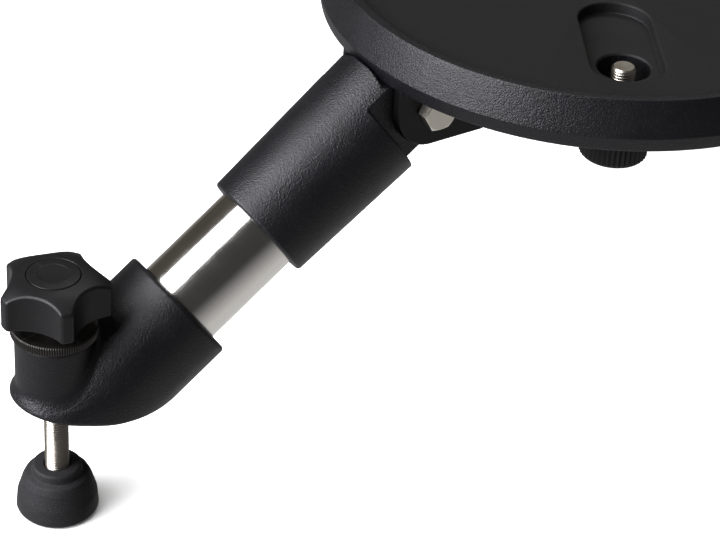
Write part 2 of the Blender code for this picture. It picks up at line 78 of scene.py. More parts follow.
MM = 0.001
GAP = 0.3 * MM
SIDES = (1, 2, 3)
GROUND = CAD_BOX[0].z
ROD_HOLE = 5.3 * MM
SCREW_HOLE = 5.4 * MM
BRACKET_SCREW_HOLE = 2.8 * MM
GRUB_HOLE = 3.3 * MM
CLIP_THICKNESS = 1.0 * MM
HEEL_DROP = 24 * MM
HEEL_RUN = 16 * MM
KNOB_PHASE = math.radians(4.3)


def middle(node):
    low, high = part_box(node)
    return (low + high) / 2


def azimuth_of(node):
    spot = middle(node)
    return math.atan2(spot.y, spot.x)


def fold_joint(number):
    return next(j for j in frame["joints"] if j["name"] == f"leg_{number}_fold")


LEG_AZIMUTHS = {k: azimuth_of(f"rubber_foot_{k}") for k in SIDES}
BOLT_AZIMUTHS = {k: azimuth_of(f"captive_bolt_{k}") for k in SIDES}
FOOT_RADIUS = middle("rubber_foot_3").xy.length
BOLT_CIRCLE = middle("captive_bolt_1").xy.length
PIVOT_RADIUS = Vector(fold_joint(3)["pos_m"]).xy.length
PIVOT_DROP = -fold_joint(3)["pos_m"][2]


# ---------------------------------------------------------------- sizes and colours


def length(name, description, default):
    return bpy.props.FloatProperty(name=name, description=description, default=default, unit="LENGTH")


def colour(name, description, default):
    return bpy.props.FloatVectorProperty(
        name=name, description=description, default=default, subtype="COLOR", size=3, min=0, max=1
    )


def share(name, description, default):
    return bpy.props.FloatProperty(name=name, description=description, default=default, min=0, max=1)


class TraySizes(bpy.types.PropertyGroup):
    """Sizes of the tray casting, its pockets and captive bolts."""

    lip_top: length("Lip height", "Top of the lip above the floor", 2.4 * MM)
    lip_inner: length("Lip inner radius", "Where the floor meets the lip", 106.6 * MM)
    lip_outer: length("Lip outer radius", "Outer edge of the lip's flat", 111.8 * MM)
    band_radius: length("Band radius", "Widest radius, at the band's lower edge", 117.05 * MM)
    band_drop: length("Band drop", "Depth of the band's lower edge", 11.7 * MM)
    skirt_radius: length("Skirt radius", "Radius at the foot of the rim", 116.0 * MM)
    skirt_drop: length("Skirt drop", "Depth of the rim", 17.9 * MM)
    skirt_inner: length("Skirt inner radius", "Inside of the rim", 108.0 * MM)
    floor: length("Floor thickness", "Thickness of the plate", 5.0 * MM)
    pad_drop: length("Pad drop", "Depth of the leg pads", 8.0 * MM)
    hub_radius: length("Hub radius", "Thickened middle underneath", 32.0 * MM)
    pill_half: length("Pocket half width", "Half the width of a bolt pocket", 14.8 * MM)
    pill_depth: length("Pocket depth", "Depth of a bolt pocket", 5.0 * MM)
    pill_inner: length("Pocket inner centre", "Radius of the pocket's inner end circle", 44.0 * MM)
    pill_outer: length("Pocket outer centre", "Radius of the pocket's outer end circle", 80.0 * MM)
    pill_wall: length("Pocket wall", "Wall round a pocket underneath", 4.0 * MM)
    boss_radius: length("Boss radius", "Radius of a bolt boss", 14.0 * MM)
    boss_drop: length("Boss drop", "Lower end of a bolt boss", 20.5 * MM)
    bore: length("Bolt bore", "Radius of the bore round a captive bolt", 10.6 * MM)
    ledge_drop: length("Ledge drop", "Depth of the ledge that the clip rests on", 17.5 * MM)
    rod: length("Bolt radius", "Outer radius of the M10 threads", 4.95 * MM)
    tip_drop: length("Bolt tip drop", "Top of a captive bolt below the floor", 4.5 * MM)
    knob_radius: length("Bolt knob radius", "Radius of a knurled bolt knob", 13.85 * MM)
    knob_top: length("Bolt knob top", "Depth of the knob's upper face", 34.0 * MM)
    knob_bottom: length("Bolt knob bottom", "Depth of the knob's lower face", 44.0 * MM)


class LegSizes(bpy.types.PropertyGroup):
    """Sizes of a bracket, its pivot and a leg."""

    slope: bpy.props.FloatProperty(
        name="Leg slope", description="Slope of the tube below level", default=math.radians(35.68),
        subtype="ANGLE",
    )
    tongue_half: length("Tongue half width", "Half the tongue's thickness", 16.2 * MM)
    ear_inner: length("Ear inner face", "Half the gap of the fork", 16.6 * MM)
    ear_outer: length("Ear outer face", "Half the width of the fork", 21.2 * MM)
    ear_radius: length("Ear radius", "Round end of an ear", 17.0 * MM)
    bracket_back: length("Bracket back", "Inner end of the bracket", 52.0 * MM)
    bracket_front: length("Bracket front", "Where the bracket meets the rim", 103.0 * MM)
    bracket_base: length("Bracket base", "Thickness of the bracket's base", 5.9 * MM)
    screw_along: length("Bracket screw spot", "Radius of the bracket screws", 65.0 * MM)
    screw_side: length("Bracket screw side", "Offset of the bracket screws", 10.0 * MM)
    head_flats: length("Bolt head", "Width across the flats of the pivot bolt", 14.1 * MM)
    head_height: length("Bolt head height", "Thickness of the pivot bolt's head", 5.6 * MM)
    nut_flats: length("Nut", "Width across the flats of the pivot nut", 15.9 * MM)
    nut_height: length("Nut height", "Thickness of the pivot nut", 8.0 * MM)
    tube_radius: length("Tube radius", "Outer radius of the leg tube", 19.05 * MM)
    tube_wall: length("Tube wall", "Wall of the leg tube", 1.6 * MM)
    tube_start: length("Tube start", "Upper end of the tube from the pivot", 30.0 * MM)
    tube_end: length("Tube end", "Lower end of the tube from the pivot", 140.0 * MM)
    socket: length("Socket radius", "Bore that takes the tube", 19.35 * MM)
    mouth: length("Sleeve mouth", "Lower end of the sleeve", 83.6 * MM)
    mouth_radius: length("Mouth radius", "Outer radius at the sleeve's mouth", 23.87 * MM)
    taper: bpy.props.FloatProperty(
        name="Sleeve taper", description="Growth of the radius towards the pivot", default=0.029
    )
    step: length("Tongue step", "Where the sleeve ends and the tongue begins", 21.2 * MM)
    tongue_radius: length("Tongue radius", "Round end of the tongue", 14.7 * MM)
    tray_gap: length("Tray gap", "Room between sleeve and tray", 0.7 * MM)
    upper_screw: length("Upper set screw", "Its place along the tube", 60.0 * MM)
    lower_screw: length("Lower set screw", "Its place along the tube", 133.5 * MM)


class FootSizes(bpy.types.PropertyGroup):
    """Sizes of a foot casting, its ring, screw, knob and rubber foot, with heights above the ground."""

    mouth: length("Socket mouth", "Its place along the tube", 127.1 * MM)
    socket_radius: length("Socket outer radius", "Outer radius of the slanted socket", 25.75 * MM)
    bottom: length("Casting bottom", "Height of the underside at the screw", 54.8 * MM)
    bottom_low: length("Casting low point", "Height of the underside behind the screw", 50.0 * MM)
    bottom_rise: bpy.props.FloatProperty(
        name="Underside rise", description="Slope of the underside towards the toe", default=0.19
    )
    boss_top: length("Boss top", "Height of the boss", 86.9 * MM)
    boss_radius: length("Boss radius", "Radius of the upright boss", 15.8 * MM)
    toe_radius: length("Toe radius", "Round toe in plan", 22.8 * MM)
    toe_set: length("Toe setback", "The toe's centre behind the screw", 4.5 * MM)
    flare: length("Toe length", "Distance over which the toe widens to the socket", 14.0 * MM)
    fillet: length("Boss fillet", "Hollow between boss and socket", 2.6 * MM)
    ring_radius: length("Lock ring radius", "Radius of the knurled ring", 17.35 * MM)
    ring_bottom: length("Lock ring bottom", "Underside of the ring", 87.3 * MM)
    ring_top: length("Lock ring top", "Upper face of the ring", 91.4 * MM)
    knob_bottom: length("Knob bottom", "Underside of the star knob", 96.8 * MM)
    knob_top: length("Knob top", "Upper face of the star knob", 110.2 * MM)
    knob_tip: length("Knob tip radius", "Radius at the lobes", 22.6 * MM)
    knob_valley: length("Knob valley radius", "Radius between the lobes", 16.2 * MM)
    knob_dome: length("Knob dome", "Rise of the middle over the tips", 4.8 * MM)
    knob_tip_width: length("Knob tip width", "Flat end of a lobe", 4.8 * MM)
    hub_radius: length("Knob hub radius", "Hub under the grip", 9.9 * MM)
    cap_radius: length("Cap radius", "Round cap of the knob", 10.45 * MM)
    rubber_radius: length("Rubber radius", "Widest radius of the rubber foot", 16.75 * MM)
    rubber_top: length("Rubber top", "Height of the rubber foot", 21.7 * MM)
    thread_pitch: length("Thread pitch", "M10 fine thread", 1.25 * MM)
    rod_end: length("Screw end", "Lower end of the levelling screw", 7.05 * MM)
    rod_top: length("Screw top", "Upper end of the levelling screw", 105.9 * MM)


class Finishes(bpy.types.PropertyGroup):
    """Colours of the finishes."""

    powder: colour("Powder coat", "Textured coat on the castings", (0.009, 0.009, 0.0115))
    floor: colour("Tray floor", "Smoother coat of the tray's floor", (0.019, 0.019, 0.0195))
    satin: colour("Satin black", "Smooth coat of the brackets", (0.006, 0.006, 0.0065))
    tube: colour("Tube steel", "Polished tube", (0.74, 0.72, 0.69))
    steel: colour("Turned steel", "Screws and bolts", (0.72, 0.68, 0.62))
    hardware: colour("Black hardware", "Blackened rings and screws", (0.045, 0.042, 0.040))
    plastic: colour("Knob plastic", "Moulded knobs", (0.015, 0.015, 0.016))
    rubber: colour("Rubber", "Levelling feet", (0.034, 0.034, 0.036))


class Studio(bpy.types.PropertyGroup):
    """Floor, lamps and camera."""

    floor: colour("Floor", "Pale studio floor", (0.86, 0.86, 0.86))
    floor_glow: share("Floor glow", "How much of the floor's paleness is its own", 0.62)
    side_power: bpy.props.FloatProperty(name="Side lamp", description="Power", default=44, unit="POWER")
    low_power: bpy.props.FloatProperty(name="Low lamp", description="Power", default=17, unit="POWER")
    top_power: bpy.props.FloatProperty(name="Top lamp", description="Power", default=6, unit="POWER")
    camera_place: bpy.props.FloatVectorProperty(
        name="Camera", description="Place of the camera", default=(-0.17194, -0.87850, 0.45007),
        subtype="TRANSLATION",
    )
    camera_back: bpy.props.FloatVectorProperty(
        name="Camera back", description="Direction from the subject to the camera",
        default=(-0.075184, -0.819433, 0.568222), subtype="DIRECTION",
    )
    camera_up: bpy.props.FloatVectorProperty(
        name="Camera up", description="Upward direction of the view",
        default=(-0.018332, 0.570875, 0.820833), subtype="DIRECTION",
    )
    lens: bpy.props.FloatProperty(name="Lens", description="Focal length in mm", default=118.477)


# ---------------------------------------------------------------- meshes from arrays


def fill_mesh(name, points, quads, tris=None):
    """A mesh from arrays. The faces are turned outwards when the signed volume they enclose is negative."""
    tris = np.zeros((0, 3), int) if tris is None else tris
    fans = np.concatenate([quads[:, [0, 1, 2]], quads[:, [0, 2, 3]], tris])
    corner = points[fans]
    if np.einsum("ij,ij->", corner[:, 0], np.cross(corner[:, 1], corner[:, 2])) < 0:
        quads, tris = quads[:, ::-1], tris[:, ::-1]
    loops = np.concatenate([quads.ravel(), tris.ravel()]).astype(np.int32)
    starts = np.concatenate([np.arange(len(quads)) * 4, len(quads) * 4 + np.arange(len(tris)) * 3])
    mesh = bpy.data.meshes.new(name)
    mesh.vertices.add(len(points))
    mesh.vertices.foreach_set("co", np.ascontiguousarray(points, np.float32).ravel())
    mesh.loops.add(len(loops))
    mesh.loops.foreach_set("vertex_index", loops)
    mesh.polygons.add(len(starts))
    mesh.polygons.foreach_set("loop_start", starts.astype(np.int32))
    mesh.update(calc_edges=True)
    return mesh


def grid_faces(rows, columns, loop):
    """Quads of a grid whose columns close on themselves, and its rows too when loop is true."""
    first = np.arange(rows if loop else rows - 1)[:, None]
    column = np.arange(columns)[None, :]
    here, up = first * columns, (first + 1) % rows * columns
    right = (column + 1) % columns
    return np.stack([here + column, here + right, up + right, up + column], -1).reshape(-1, 4)


def ring_mesh(name, rings, loop=False):
    """A closed skin over rings of points, shape (rows, columns, 3). Open ends close on a middle point."""
    rows, columns = rings.shape[:2]
    points = rings.reshape(-1, 3)
    quads = grid_faces(rows, columns, loop)
    if loop:
        return fill_mesh(name, points, quads)
    points = np.concatenate([points, rings[0].mean(0)[None], rings[-1].mean(0)[None]])
    here = np.arange(columns)
    after = (here + 1) % columns
    last = (rows - 1) * columns
    low = np.stack([np.full(columns, rows * columns), after, here], -1)
    high = np.stack([np.full(columns, rows * columns + 1), last + here, last + after], -1)
    return fill_mesh(name, points, quads, np.concatenate([low, high]))


def rounded(corners, steps=4):
    """A profile through (radius, height, fillet) corners, each fillet an arc tangent to both sides.

    The arc's ends lie fillet / tan(half the corner's angle) from the corner. Its middle points are the
    quadratic curve between them, which is within a few hundredths of the true arc at these sizes.
    """
    points = []
    for i, (radius, height, fillet) in enumerate(corners):
        here = np.array([radius, height])
        if fillet <= 0 or i in (0, len(corners) - 1):
            points.append(here)
            continue
        before = np.array(corners[i - 1][:2]) - here
        after = np.array(corners[i + 1][:2]) - here
        unit_before, unit_after = before / np.linalg.norm(before), after / np.linalg.norm(after)
        half = math.acos(np.clip(unit_before @ unit_after, -1, 1)) / 2
        reach = min(fillet / max(math.tan(half), 1e-6), 0.48 * np.linalg.norm(before),
                    0.48 * np.linalg.norm(after))
        t = np.linspace(0, 1, steps + 1)[:, None]
        points.extend((1 - t) ** 2 * (here + unit_before * reach) + 2 * t * (1 - t) * here
                      + t ** 2 * (here + unit_after * reach))
    return np.array(points)


def spun(profile, columns=96, change=None):
    """Rings of a profile turned about Z. change(angle, height) is added to the radius."""
    angle = np.linspace(0, math.tau, columns, endpoint=False)[None, :]
    radius, height = profile[:, :1], profile[:, 1:]
    if change is not None:
        radius = radius + change(angle, height)
    radius = np.broadcast_to(radius, (len(profile), columns))
    return np.stack([radius * np.cos(angle), radius * np.sin(angle),
                     np.broadcast_to(height, radius.shape)], -1)


def threaded(low, high, radius, pitch, chamfer, columns=28, turns=10):
    """Rings of a helical thread: the radius falls by a rounded saw of height / pitch less the turn.

    The depth is 0.54 of the pitch, and both ends are faded to the root along the chamfer.
    """
    height = np.arange(low, high, pitch / turns)
    height = np.append(height, high)[:, None]
    angle = np.linspace(0, math.tau, columns, endpoint=False)[None, :]
    wave = 0.5 + 0.5 * np.cos(math.tau * (height / pitch - angle / math.tau))
    depth = 0.54 * pitch * (1 - wave ** 0.8)
    limit = radius - np.maximum(chamfer - np.minimum(height - low, high - height), 0)
    reach = np.minimum(radius - depth, limit)
    return np.stack([reach * np.cos(angle), reach * np.sin(angle), height + 0 * angle], -1)


def hexagonal(flats, low, high, chamfer=0.25):
    """Rings of a hexagonal head: a hexagon cut by a cone at each end, 30 degrees from level."""
    angle = np.linspace(0, math.tau, 120, endpoint=False)
    edge = flats / 2 / np.cos(angle % (math.pi / 3) - math.pi / 6)
    face = flats / 2 * 0.97
    fall = np.maximum(edge - face, 0) * math.tan(math.radians(30))
    rows = [(edge * 0 + face * 0.5, low), (edge * 0 + face, low), (edge, low + fall * chamfer * 4),
            (edge, high - fall), (edge * 0 + face, high), (edge * 0 + face * 0.5, high)]
    return np.stack([np.stack([r * np.cos(angle), r * np.sin(angle), h + 0 * angle], -1) for r, h in rows])


# ---------------------------------------------------------------- solids from distance fields


def meet(a, b, fillet):
    """The part inside both fields, its outer edge rounded to the fillet's radius."""
    corner = np.hypot(np.maximum(a + fillet, 0), np.maximum(b + fillet, 0))
    return np.minimum(np.maximum(a, b), -fillet) + corner


def join(a, b, fillet):
    """Both fields together, the hollow between them filled to the fillet's radius."""
    corner = np.hypot(np.maximum(fillet - a, 0), np.maximum(fillet - b, 0))
    return np.maximum(np.minimum(a, b), fillet) - corner


def cut(a, b, fillet):
    """The first field less the second, the new edge rounded."""
    return meet(a, -b, fillet)


def net_vertices(value, low, step):
    """Where the field's zero crosses each mixed cell: the mean of the crossings on its twelve edges."""
    shape = np.array(value.shape) - 1
    total = np.zeros((*shape, 3))
    count = np.zeros(shape)
    for axis in range(3):
        one, two = [a for a in range(3) if a != axis]
        head = [slice(None)] * 3
        tail = [slice(None)] * 3
        head[axis], tail[axis] = slice(0, -1), slice(1, None)
        start, end = value[tuple(head)], value[tuple(tail)]
        crossing = (start < 0) != (end < 0)
        where = np.where(crossing, start / np.where(crossing, start - end, 1), 0)
        for shift_one in (0, 1):
            for shift_two in (0, 1):
                pick = [slice(None)] * 3
                pick[one] = slice(shift_one, shape[one] + shift_one)
                pick[two] = slice(shift_two, shape[two] + shift_two)
                hit = crossing[tuple(pick)]
                total[..., axis] += where[tuple(pick)] * hit
                total[..., one] += shift_one * hit
                total[..., two] += shift_two * hit
                count += hit
    mixed = count > 0
    cells = np.argwhere(mixed)
    return mixed, low + step * (cells + total[mixed] / count[mixed][:, None])


def net_faces(value, mixed):
    """One quad round every grid edge that crosses the surface, from the four cells that share the edge."""
    index = np.full(mixed.shape, -1)
    index[mixed] = np.arange(mixed.sum())
    faces = []
    for axis in range(3):
        one, two = [a for a in range(3) if a != axis]
        inner = [slice(1, -1)] * 3
        head, tail = list(inner), list(inner)
        head[axis], tail[axis] = slice(0, -1), slice(1, None)
        start, end = value[tuple(head)] < 0, value[tuple(tail)] < 0
        edges = np.argwhere(start != end)
        leaving = start[start != end]
        edges[:, one] += 1
        edges[:, two] += 1
        ring = []
        for shift_one, shift_two in ((1, 1), (0, 1), (0, 0), (1, 0)):
            cell = edges.copy()
            cell[:, one] -= shift_one
            cell[:, two] -= shift_two
            ring.append(index[tuple(cell.T)])
        quad = np.stack(ring, -1)
        turned = leaving if axis != 1 else ~leaving
        faces.append(np.where(turned[:, None], quad, quad[:, ::-1]))
    return np.concatenate(faces)


def slope_of(field, points, reach=0.02 * MM):
    """The field's gradient by central differences."""
    rise = [field(points + reach * axis) - field(points - reach * axis) for axis in np.eye(3)]
    rise = np.stack(rise, -1)
    return rise / (2 * reach)


def field_mesh(name, field, low, high, step):
    """The zero surface of a distance field, as quads, with the field's own slope as the shading normals.

    A grid of the field gives a net of vertices, which Newton steps along the slope then bring onto the
    surface itself: point - field * slope / slope squared.
    """
    low, high = np.array(low) - 1.5 * step, np.array(high) + 1.5 * step
    axes = [np.arange(a, b, step) for a, b in zip(low, high)]
    value = field(np.stack(np.meshgrid(*axes, indexing="ij"), -1))
    mixed, points = net_vertices(value, low, step)
    quads = net_faces(value, mixed)
    for _ in range(3):
        slope = slope_of(field, points)
        move = (field(points) / np.maximum((slope ** 2).sum(-1), 0.25))[:, None] * slope
        size = np.linalg.norm(move, axis=1, keepdims=True)
        points = points - move * np.minimum(1, 0.5 * step / np.maximum(size, 1e-12))
    normals = slope_of(field, points)
    normals /= np.maximum(np.linalg.norm(normals, axis=1, keepdims=True), 1e-9)
    mesh = fill_mesh(name, points, quads)
    return mesh, normals


# ---------------------------------------------------------------- pieces


def piece(name, shape, place, finish, body, nodes, sharp=30):
    """An object at the origin, its place worked into a copy of the shape, that rides and stands for nodes.

    The shape's own coordinates stay on the mesh as the attribute "local", for finishes that follow it.
    """
    mesh, normals = shape if isinstance(shape, tuple) else (shape, None)
    mesh = mesh.copy()
    mesh.name = name
    local = np.empty(len(mesh.vertices) * 3, np.float32)
    mesh.vertices.foreach_get("co", local)
    kept = mesh.attributes.new("local", "FLOAT_VECTOR", "POINT")
    kept.data.foreach_set("vector", local)
    mesh.transform(place)
    mesh.shade_smooth()
    if normals is None:
        mesh.set_sharp_from_angle(angle=math.radians(sharp))
    else:
        turn = np.array(place.to_3x3().normalized())
        mesh.normals_split_custom_set_from_vertices((normals @ turn.T).tolist())
    for material in finish if isinstance(finish, list) else [finish]:
        mesh.materials.append(material)
    made = bpy.data.objects.new(name, mesh)
    bpy.context.scene.collection.objects.link(made)
    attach(made, body)
    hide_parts(*nodes)
    return made


def leg_turn(number):
    return Matrix.Rotation(LEG_AZIMUTHS[number], 4, "Z")


def pivot_place(number):
    return leg_turn(number) @ Matrix.Translation((PIVOT_RADIUS, 0, -PIVOT_DROP))


def tube_place(number, legs):
    return pivot_place(number) @ Matrix.Rotation(legs.slope, 4, "Y")


def foot_place(number):
    return leg_turn(number) @ Matrix.Translation((FOOT_RADIUS, 0, GROUND))


def bolt_place(number):
    return Matrix.Rotation(BOLT_AZIMUTHS[number], 4, "Z") @ Matrix.Translation((BOLT_CIRCLE, 0, 0))


def carried(mesh, matrix):
    """The same mesh, moved."""
    mesh.transform(matrix)
    return mesh


def boolean(base, operation, tools):
    """The base mesh joined with, or cut by, each tool in turn."""
    scene = bpy.context.scene.collection
    target = bpy.data.objects.new("base", base)
    helpers = [bpy.data.objects.new("tool", tool) for tool in tools]
    for held in [target] + helpers:
        scene.objects.link(held)
    for helper in helpers:
        step = target.modifiers.new("step", "BOOLEAN")
        step.operation, step.solver, step.object = operation, "EXACT", helper
    graph = bpy.context.evaluated_depsgraph_get()
    result = bpy.data.meshes.new_from_object(target.evaluated_get(graph))
    for held in [target] + helpers:
        bpy.data.objects.remove(held, do_unlink=True)
    return result


# ---------------------------------------------------------------- shader groups and finishes


def add(tree, kind, inputs=None, **settings):
    made = tree.nodes.new(kind)
    for name, value in settings.items():
        setattr(made, name, value)
    for name, value in (inputs or {}).items():
        if isinstance(value, bpy.types.NodeSocket):
            tree.links.new(value, made.inputs[name])
        else:
            made.inputs[name].default_value = value
    return made


def new_group(name, inputs, outputs):
    """A shader group with named sockets, given as (name, type, default) and (name, type)."""
    group = bpy.data.node_groups.new(name, "ShaderNodeTree")
    for label, kind, default in inputs:
        socket = group.interface.new_socket(label, in_out="INPUT", socket_type=kind)
        if default is not None:
            socket.default_value = default
    for label, kind in outputs:
        group.interface.new_socket(label, in_out="OUTPUT", socket_type=kind)
    return group, group.nodes.new("NodeGroupInput").outputs, group.nodes.new("NodeGroupOutput").inputs


def grain_group():
    """Fine powder-coat grain: two noises a few tenths of a millimetre apart, and a mask of their peaks."""
    group, given, out = new_group(
        "Powder grain",
        [("Position", "NodeSocketVector", None), ("Grain size", "NodeSocketFloat", 0.5 * MM)],
        [("Height", "NodeSocketFloat"), ("Peaks", "NodeSocketFloat")],
    )
    rate = add(group, "ShaderNodeMath", {0: 1.0, 1: given["Grain size"]}, operation="DIVIDE").outputs[0]
    fine = add(group, "ShaderNodeTexNoise",
               {"Vector": given["Position"], "Scale": rate, "Detail": 2.0, "Roughness": 0.6})
    broad_rate = add(group, "ShaderNodeMath", {0: rate, 1: 0.38}, operation="MULTIPLY").outputs[0]
    broad = add(group, "ShaderNodeTexNoise",
                {"Vector": given["Position"], "Scale": broad_rate, "Detail": 1.0})
    both = add(group, "ShaderNodeMath", {0: broad.outputs[0], 1: 0.35, 2: fine.outputs[0]},
               operation="MULTIPLY_ADD")
    peaks = add(group, "ShaderNodeMapRange", {
        "Value": fine.outputs[0], "From Min": 0.55, "From Max": 0.72, "To Min": 0.0, "To Max": 1.0,
    })
    group.links.new(both.outputs[0], out["Height"])
    group.links.new(peaks.outputs[0], out["Peaks"])
    return group


def edge_highlight_group():
    """A mask of raised edges from the mesh's own curvature, times a given contrast, for a painted edge
    highlight.
    """
    group, given, out = new_group(
        "Painted edge highlight", [("Contrast", "NodeSocketFloat", 8.0)], [("Edges", "NodeSocketFloat")],
    )
    curve = group.nodes.new("ShaderNodeNewGeometry").outputs["Pointiness"]
    raised = add(group, "ShaderNodeMath", {0: curve, 1: 0.505}, operation="SUBTRACT").outputs[0]
    edges = add(group, "ShaderNodeMath", {0: raised, 1: given["Contrast"]}, operation="MULTIPLY",
                use_clamp=True)
    group.links.new(edges.outputs[0], out["Edges"])
    return group


def clouds_group():
    """Slow variation of gloss, as handling and moulding leave it, between two given roughnesses."""
    group, given, out = new_group(
        "Gloss clouds",
        [("Position", "NodeSocketVector", None), ("Size", "NodeSocketFloat", 12 * MM),
         ("Low", "NodeSocketFloat", 0.3), ("High", "NodeSocketFloat", 0.4)],
        [("Roughness", "NodeSocketFloat")],
    )
    rate = add(group, "ShaderNodeMath", {0: 1.0, 1: given["Size"]}, operation="DIVIDE").outputs[0]
    noise = add(group, "ShaderNodeTexNoise",
                {"Vector": given["Position"], "Scale": rate, "Detail": 3.0, "Roughness": 0.55})
    spread = add(group, "ShaderNodeMapRange", {
        "Value": noise.outputs[0], "From Min": 0.35, "From Max": 0.65,
        "To Min": given["Low"], "To Max": given["High"],
    })
    group.links.new(spread.outputs[0], out["Roughness"])
    return group


def group_node(tree, group, **inputs):
    """Places a group; an input's name has _ where its socket has a space."""
    made = tree.nodes.new("ShaderNodeGroup")
    made.node_tree = bpy.data.node_groups[group]
    for name, value in inputs.items():
        label = name.replace("_", " ")
        if isinstance(value, bpy.types.NodeSocket):
            tree.links.new(value, made.inputs[label])
        else:
            made.inputs[label].default_value = value
    return made.outputs


def position_of(tree, space):
    """The rest position, or the piece's own coordinates kept on its mesh."""
    if space == "local":
        return add(tree, "ShaderNodeAttribute", attribute_name="local").outputs["Vector"]
    return tree.nodes.new("ShaderNodeTexCoord").outputs["Object"]


def mixed_colour(tree, mask, low, high):
    made = add(tree, "ShaderNodeMix", data_type="RGBA")
    tree.links.new(mask, made.inputs["Factor"])
    made.inputs[6].default_value = (*low, 1)
    made.inputs[7].default_value = (*high, 1)
    return made.outputs[2]


def new_finish(name, metallic=0.0, specular=0.5):
    made = bpy.data.materials.new(name)
    made.use_nodes = True
    shader = made.node_tree.nodes["Principled BSDF"]
    shader.inputs["Metallic"].default_value = metallic
    shader.inputs["Specular IOR Level"].default_value = specular
    return made, made.node_tree, shader.inputs


def lighter(tone, factor):
    """The tone times the factor, kept within 0 to 1."""
    return tuple(min(1.0, c * factor) for c in tone)


def bump(tree, height, distance):
    made = add(tree, "ShaderNodeBump", {"Height": height, "Distance": distance, "Strength": 1.0})
    return made.outputs["Normal"]


def coated(name, tone, grain, relief, low, high, specular=0.5, edge=1.8):
    """A sprayed or moulded black surface: grain in the bump, cloudy gloss, paler grain peaks, and raised
    edges painted paler as a painted edge highlight.
    """
    made, tree, shader = new_finish(name, specular=specular)
    place = position_of(tree, "object")
    fine = group_node(tree, "Powder grain", Position=place, Grain_size=grain)
    cloud = group_node(tree, "Gloss clouds", Position=place, Size=14 * MM, Low=low, High=high)
    # The curvature mask paints raised edges paler by the edge factor: a painted edge highlight.
    edge_highlight = group_node(tree, "Painted edge highlight", Contrast=7.0)
    base = mixed_colour(tree, fine["Peaks"], tone, lighter(tone, 2.4))
    edge_lit = add(tree, "ShaderNodeMix", data_type="RGBA")
    tree.links.new(edge_highlight["Edges"], edge_lit.inputs["Factor"])
    tree.links.new(base, edge_lit.inputs[6])
    edge_lit.inputs[7].default_value = (*lighter(tone, edge), 1)
    tree.links.new(edge_lit.outputs[2], shader["Base Color"])
    tree.links.new(cloud["Roughness"], shader["Roughness"])
    tree.links.new(bump(tree, fine["Height"], relief), shader["Normal"])
    return made


def brushed(name, tone, along, low, high, scratch=0.02 * MM, darker=0.8):
    """Steel with a fine grain: noise stretched along the given axis of the piece's own coordinates."""
    made, tree, shader = new_finish(name, metallic=1.0)
    local = position_of(tree, "local")
    stretch = add(tree, "ShaderNodeMapping", {"Vector": local, "Scale": along})
    grain = add(tree, "ShaderNodeTexNoise",
                {"Vector": stretch.outputs[0], "Scale": 1.0, "Detail": 4.0, "Roughness": 0.7})
    cloud = group_node(tree, "Gloss clouds", Position=local, Size=9 * MM, Low=low, High=high)
    rough = add(tree, "ShaderNodeMath", {0: grain.outputs[0], 1: 0.10}, operation="MULTIPLY").outputs[0]
    dull = add(tree, "ShaderNodeMath", {0: cloud["Roughness"], 1: rough}, operation="ADD").outputs[0]
    tree.links.new(dull, shader["Roughness"])
    tree.links.new(mixed_colour(tree, grain.outputs[0], lighter(tone, darker), tone), shader["Base Color"])
    tree.links.new(bump(tree, grain.outputs[0], scratch), shader["Normal"])
    return made


def tube_finish(tone):
    return brushed("polished_tube", tone, (25.0, 1800.0, 1800.0), 0.10, 0.14, 0.0012 * MM, 0.88)


def steel_finish(tone):
    return brushed("turned_steel", tone, (700.0, 700.0, 4000.0), 0.22, 0.30, 0.002 * MM, 0.82)


def hardware_finish(tone):
    """Blackened steel whose raised edges are painted grey, a painted edge highlight."""
    made, tree, shader = new_finish("black_hardware_finish", metallic=0.7)
    place = position_of(tree, "object")
    edge_highlight = group_node(tree, "Painted edge highlight", Contrast=5.0)
    cloud = group_node(tree, "Gloss clouds", Position=place, Size=4 * MM, Low=0.32, High=0.45)
    grain = group_node(tree, "Powder grain", Position=place, Grain_size=0.2 * MM)
    # Raised edges painted four times paler: a painted edge highlight.
    tree.links.new(mixed_colour(tree, edge_highlight["Edges"], tone, lighter(tone, 4.0)), shader["Base Color"])
    tree.links.new(cloud["Roughness"], shader["Roughness"])
    tree.links.new(bump(tree, grain["Height"], 0.01 * MM), shader["Normal"])
    return made


FINISHES = {}


def make_finishes(tones):
    """All shader groups once, then every finish by name."""
    grain_group()
    edge_highlight_group()
    clouds_group()
    FINISHES.update({
        "powder": coated("powder_coat_finish", tones.powder, 0.70 * MM, 0.26 * MM, 0.38, 0.46, 0.64),
        "floor": coated("tray_floor_finish", tones.floor, 0.30 * MM, 0.020 * MM, 0.50, 0.60, 0.4),
        "satin": coated("satin_black_finish", tones.satin, 0.30 * MM, 0.012 * MM, 0.34, 0.42, 0.4),
        "plastic": coated("knob_plastic_finish", tones.plastic, 0.35 * MM, 0.015 * MM, 0.34, 0.44, 0.45),
        "rubber": coated("rubber_finish", tones.rubber, 0.45 * MM, 0.030 * MM, 0.58, 0.70, 0.35),
        "tube": tube_finish(tones.tube),
        "steel": steel_finish(tones.steel),
        "hardware": hardware_finish(tones.hardware),
    })


# ---------------------------------------------------------------- tray


def pill_rings(half_width, inner, outer, profile, columns=40):
    """Rings round a slot: each row is the slot's outline grown by the profile's offset, at its height.

    The outline is two half circles about (inner, 0) and (outer, 0), joined by straight sides.
    """
    turn = np.linspace(-math.pi / 2, math.pi / 2, columns)
    angle = np.concatenate([turn, turn + math.pi])
    centre = np.concatenate([np.full(columns, outer), np.full(columns, inner)])
    rows = [np.stack([centre + (half_width + grow) * np.cos(angle), (half_width + grow) * np.sin(angle),
                      np.full(2 * columns, height)], -1) for grow, height in profile]
    return np.stack(rows)


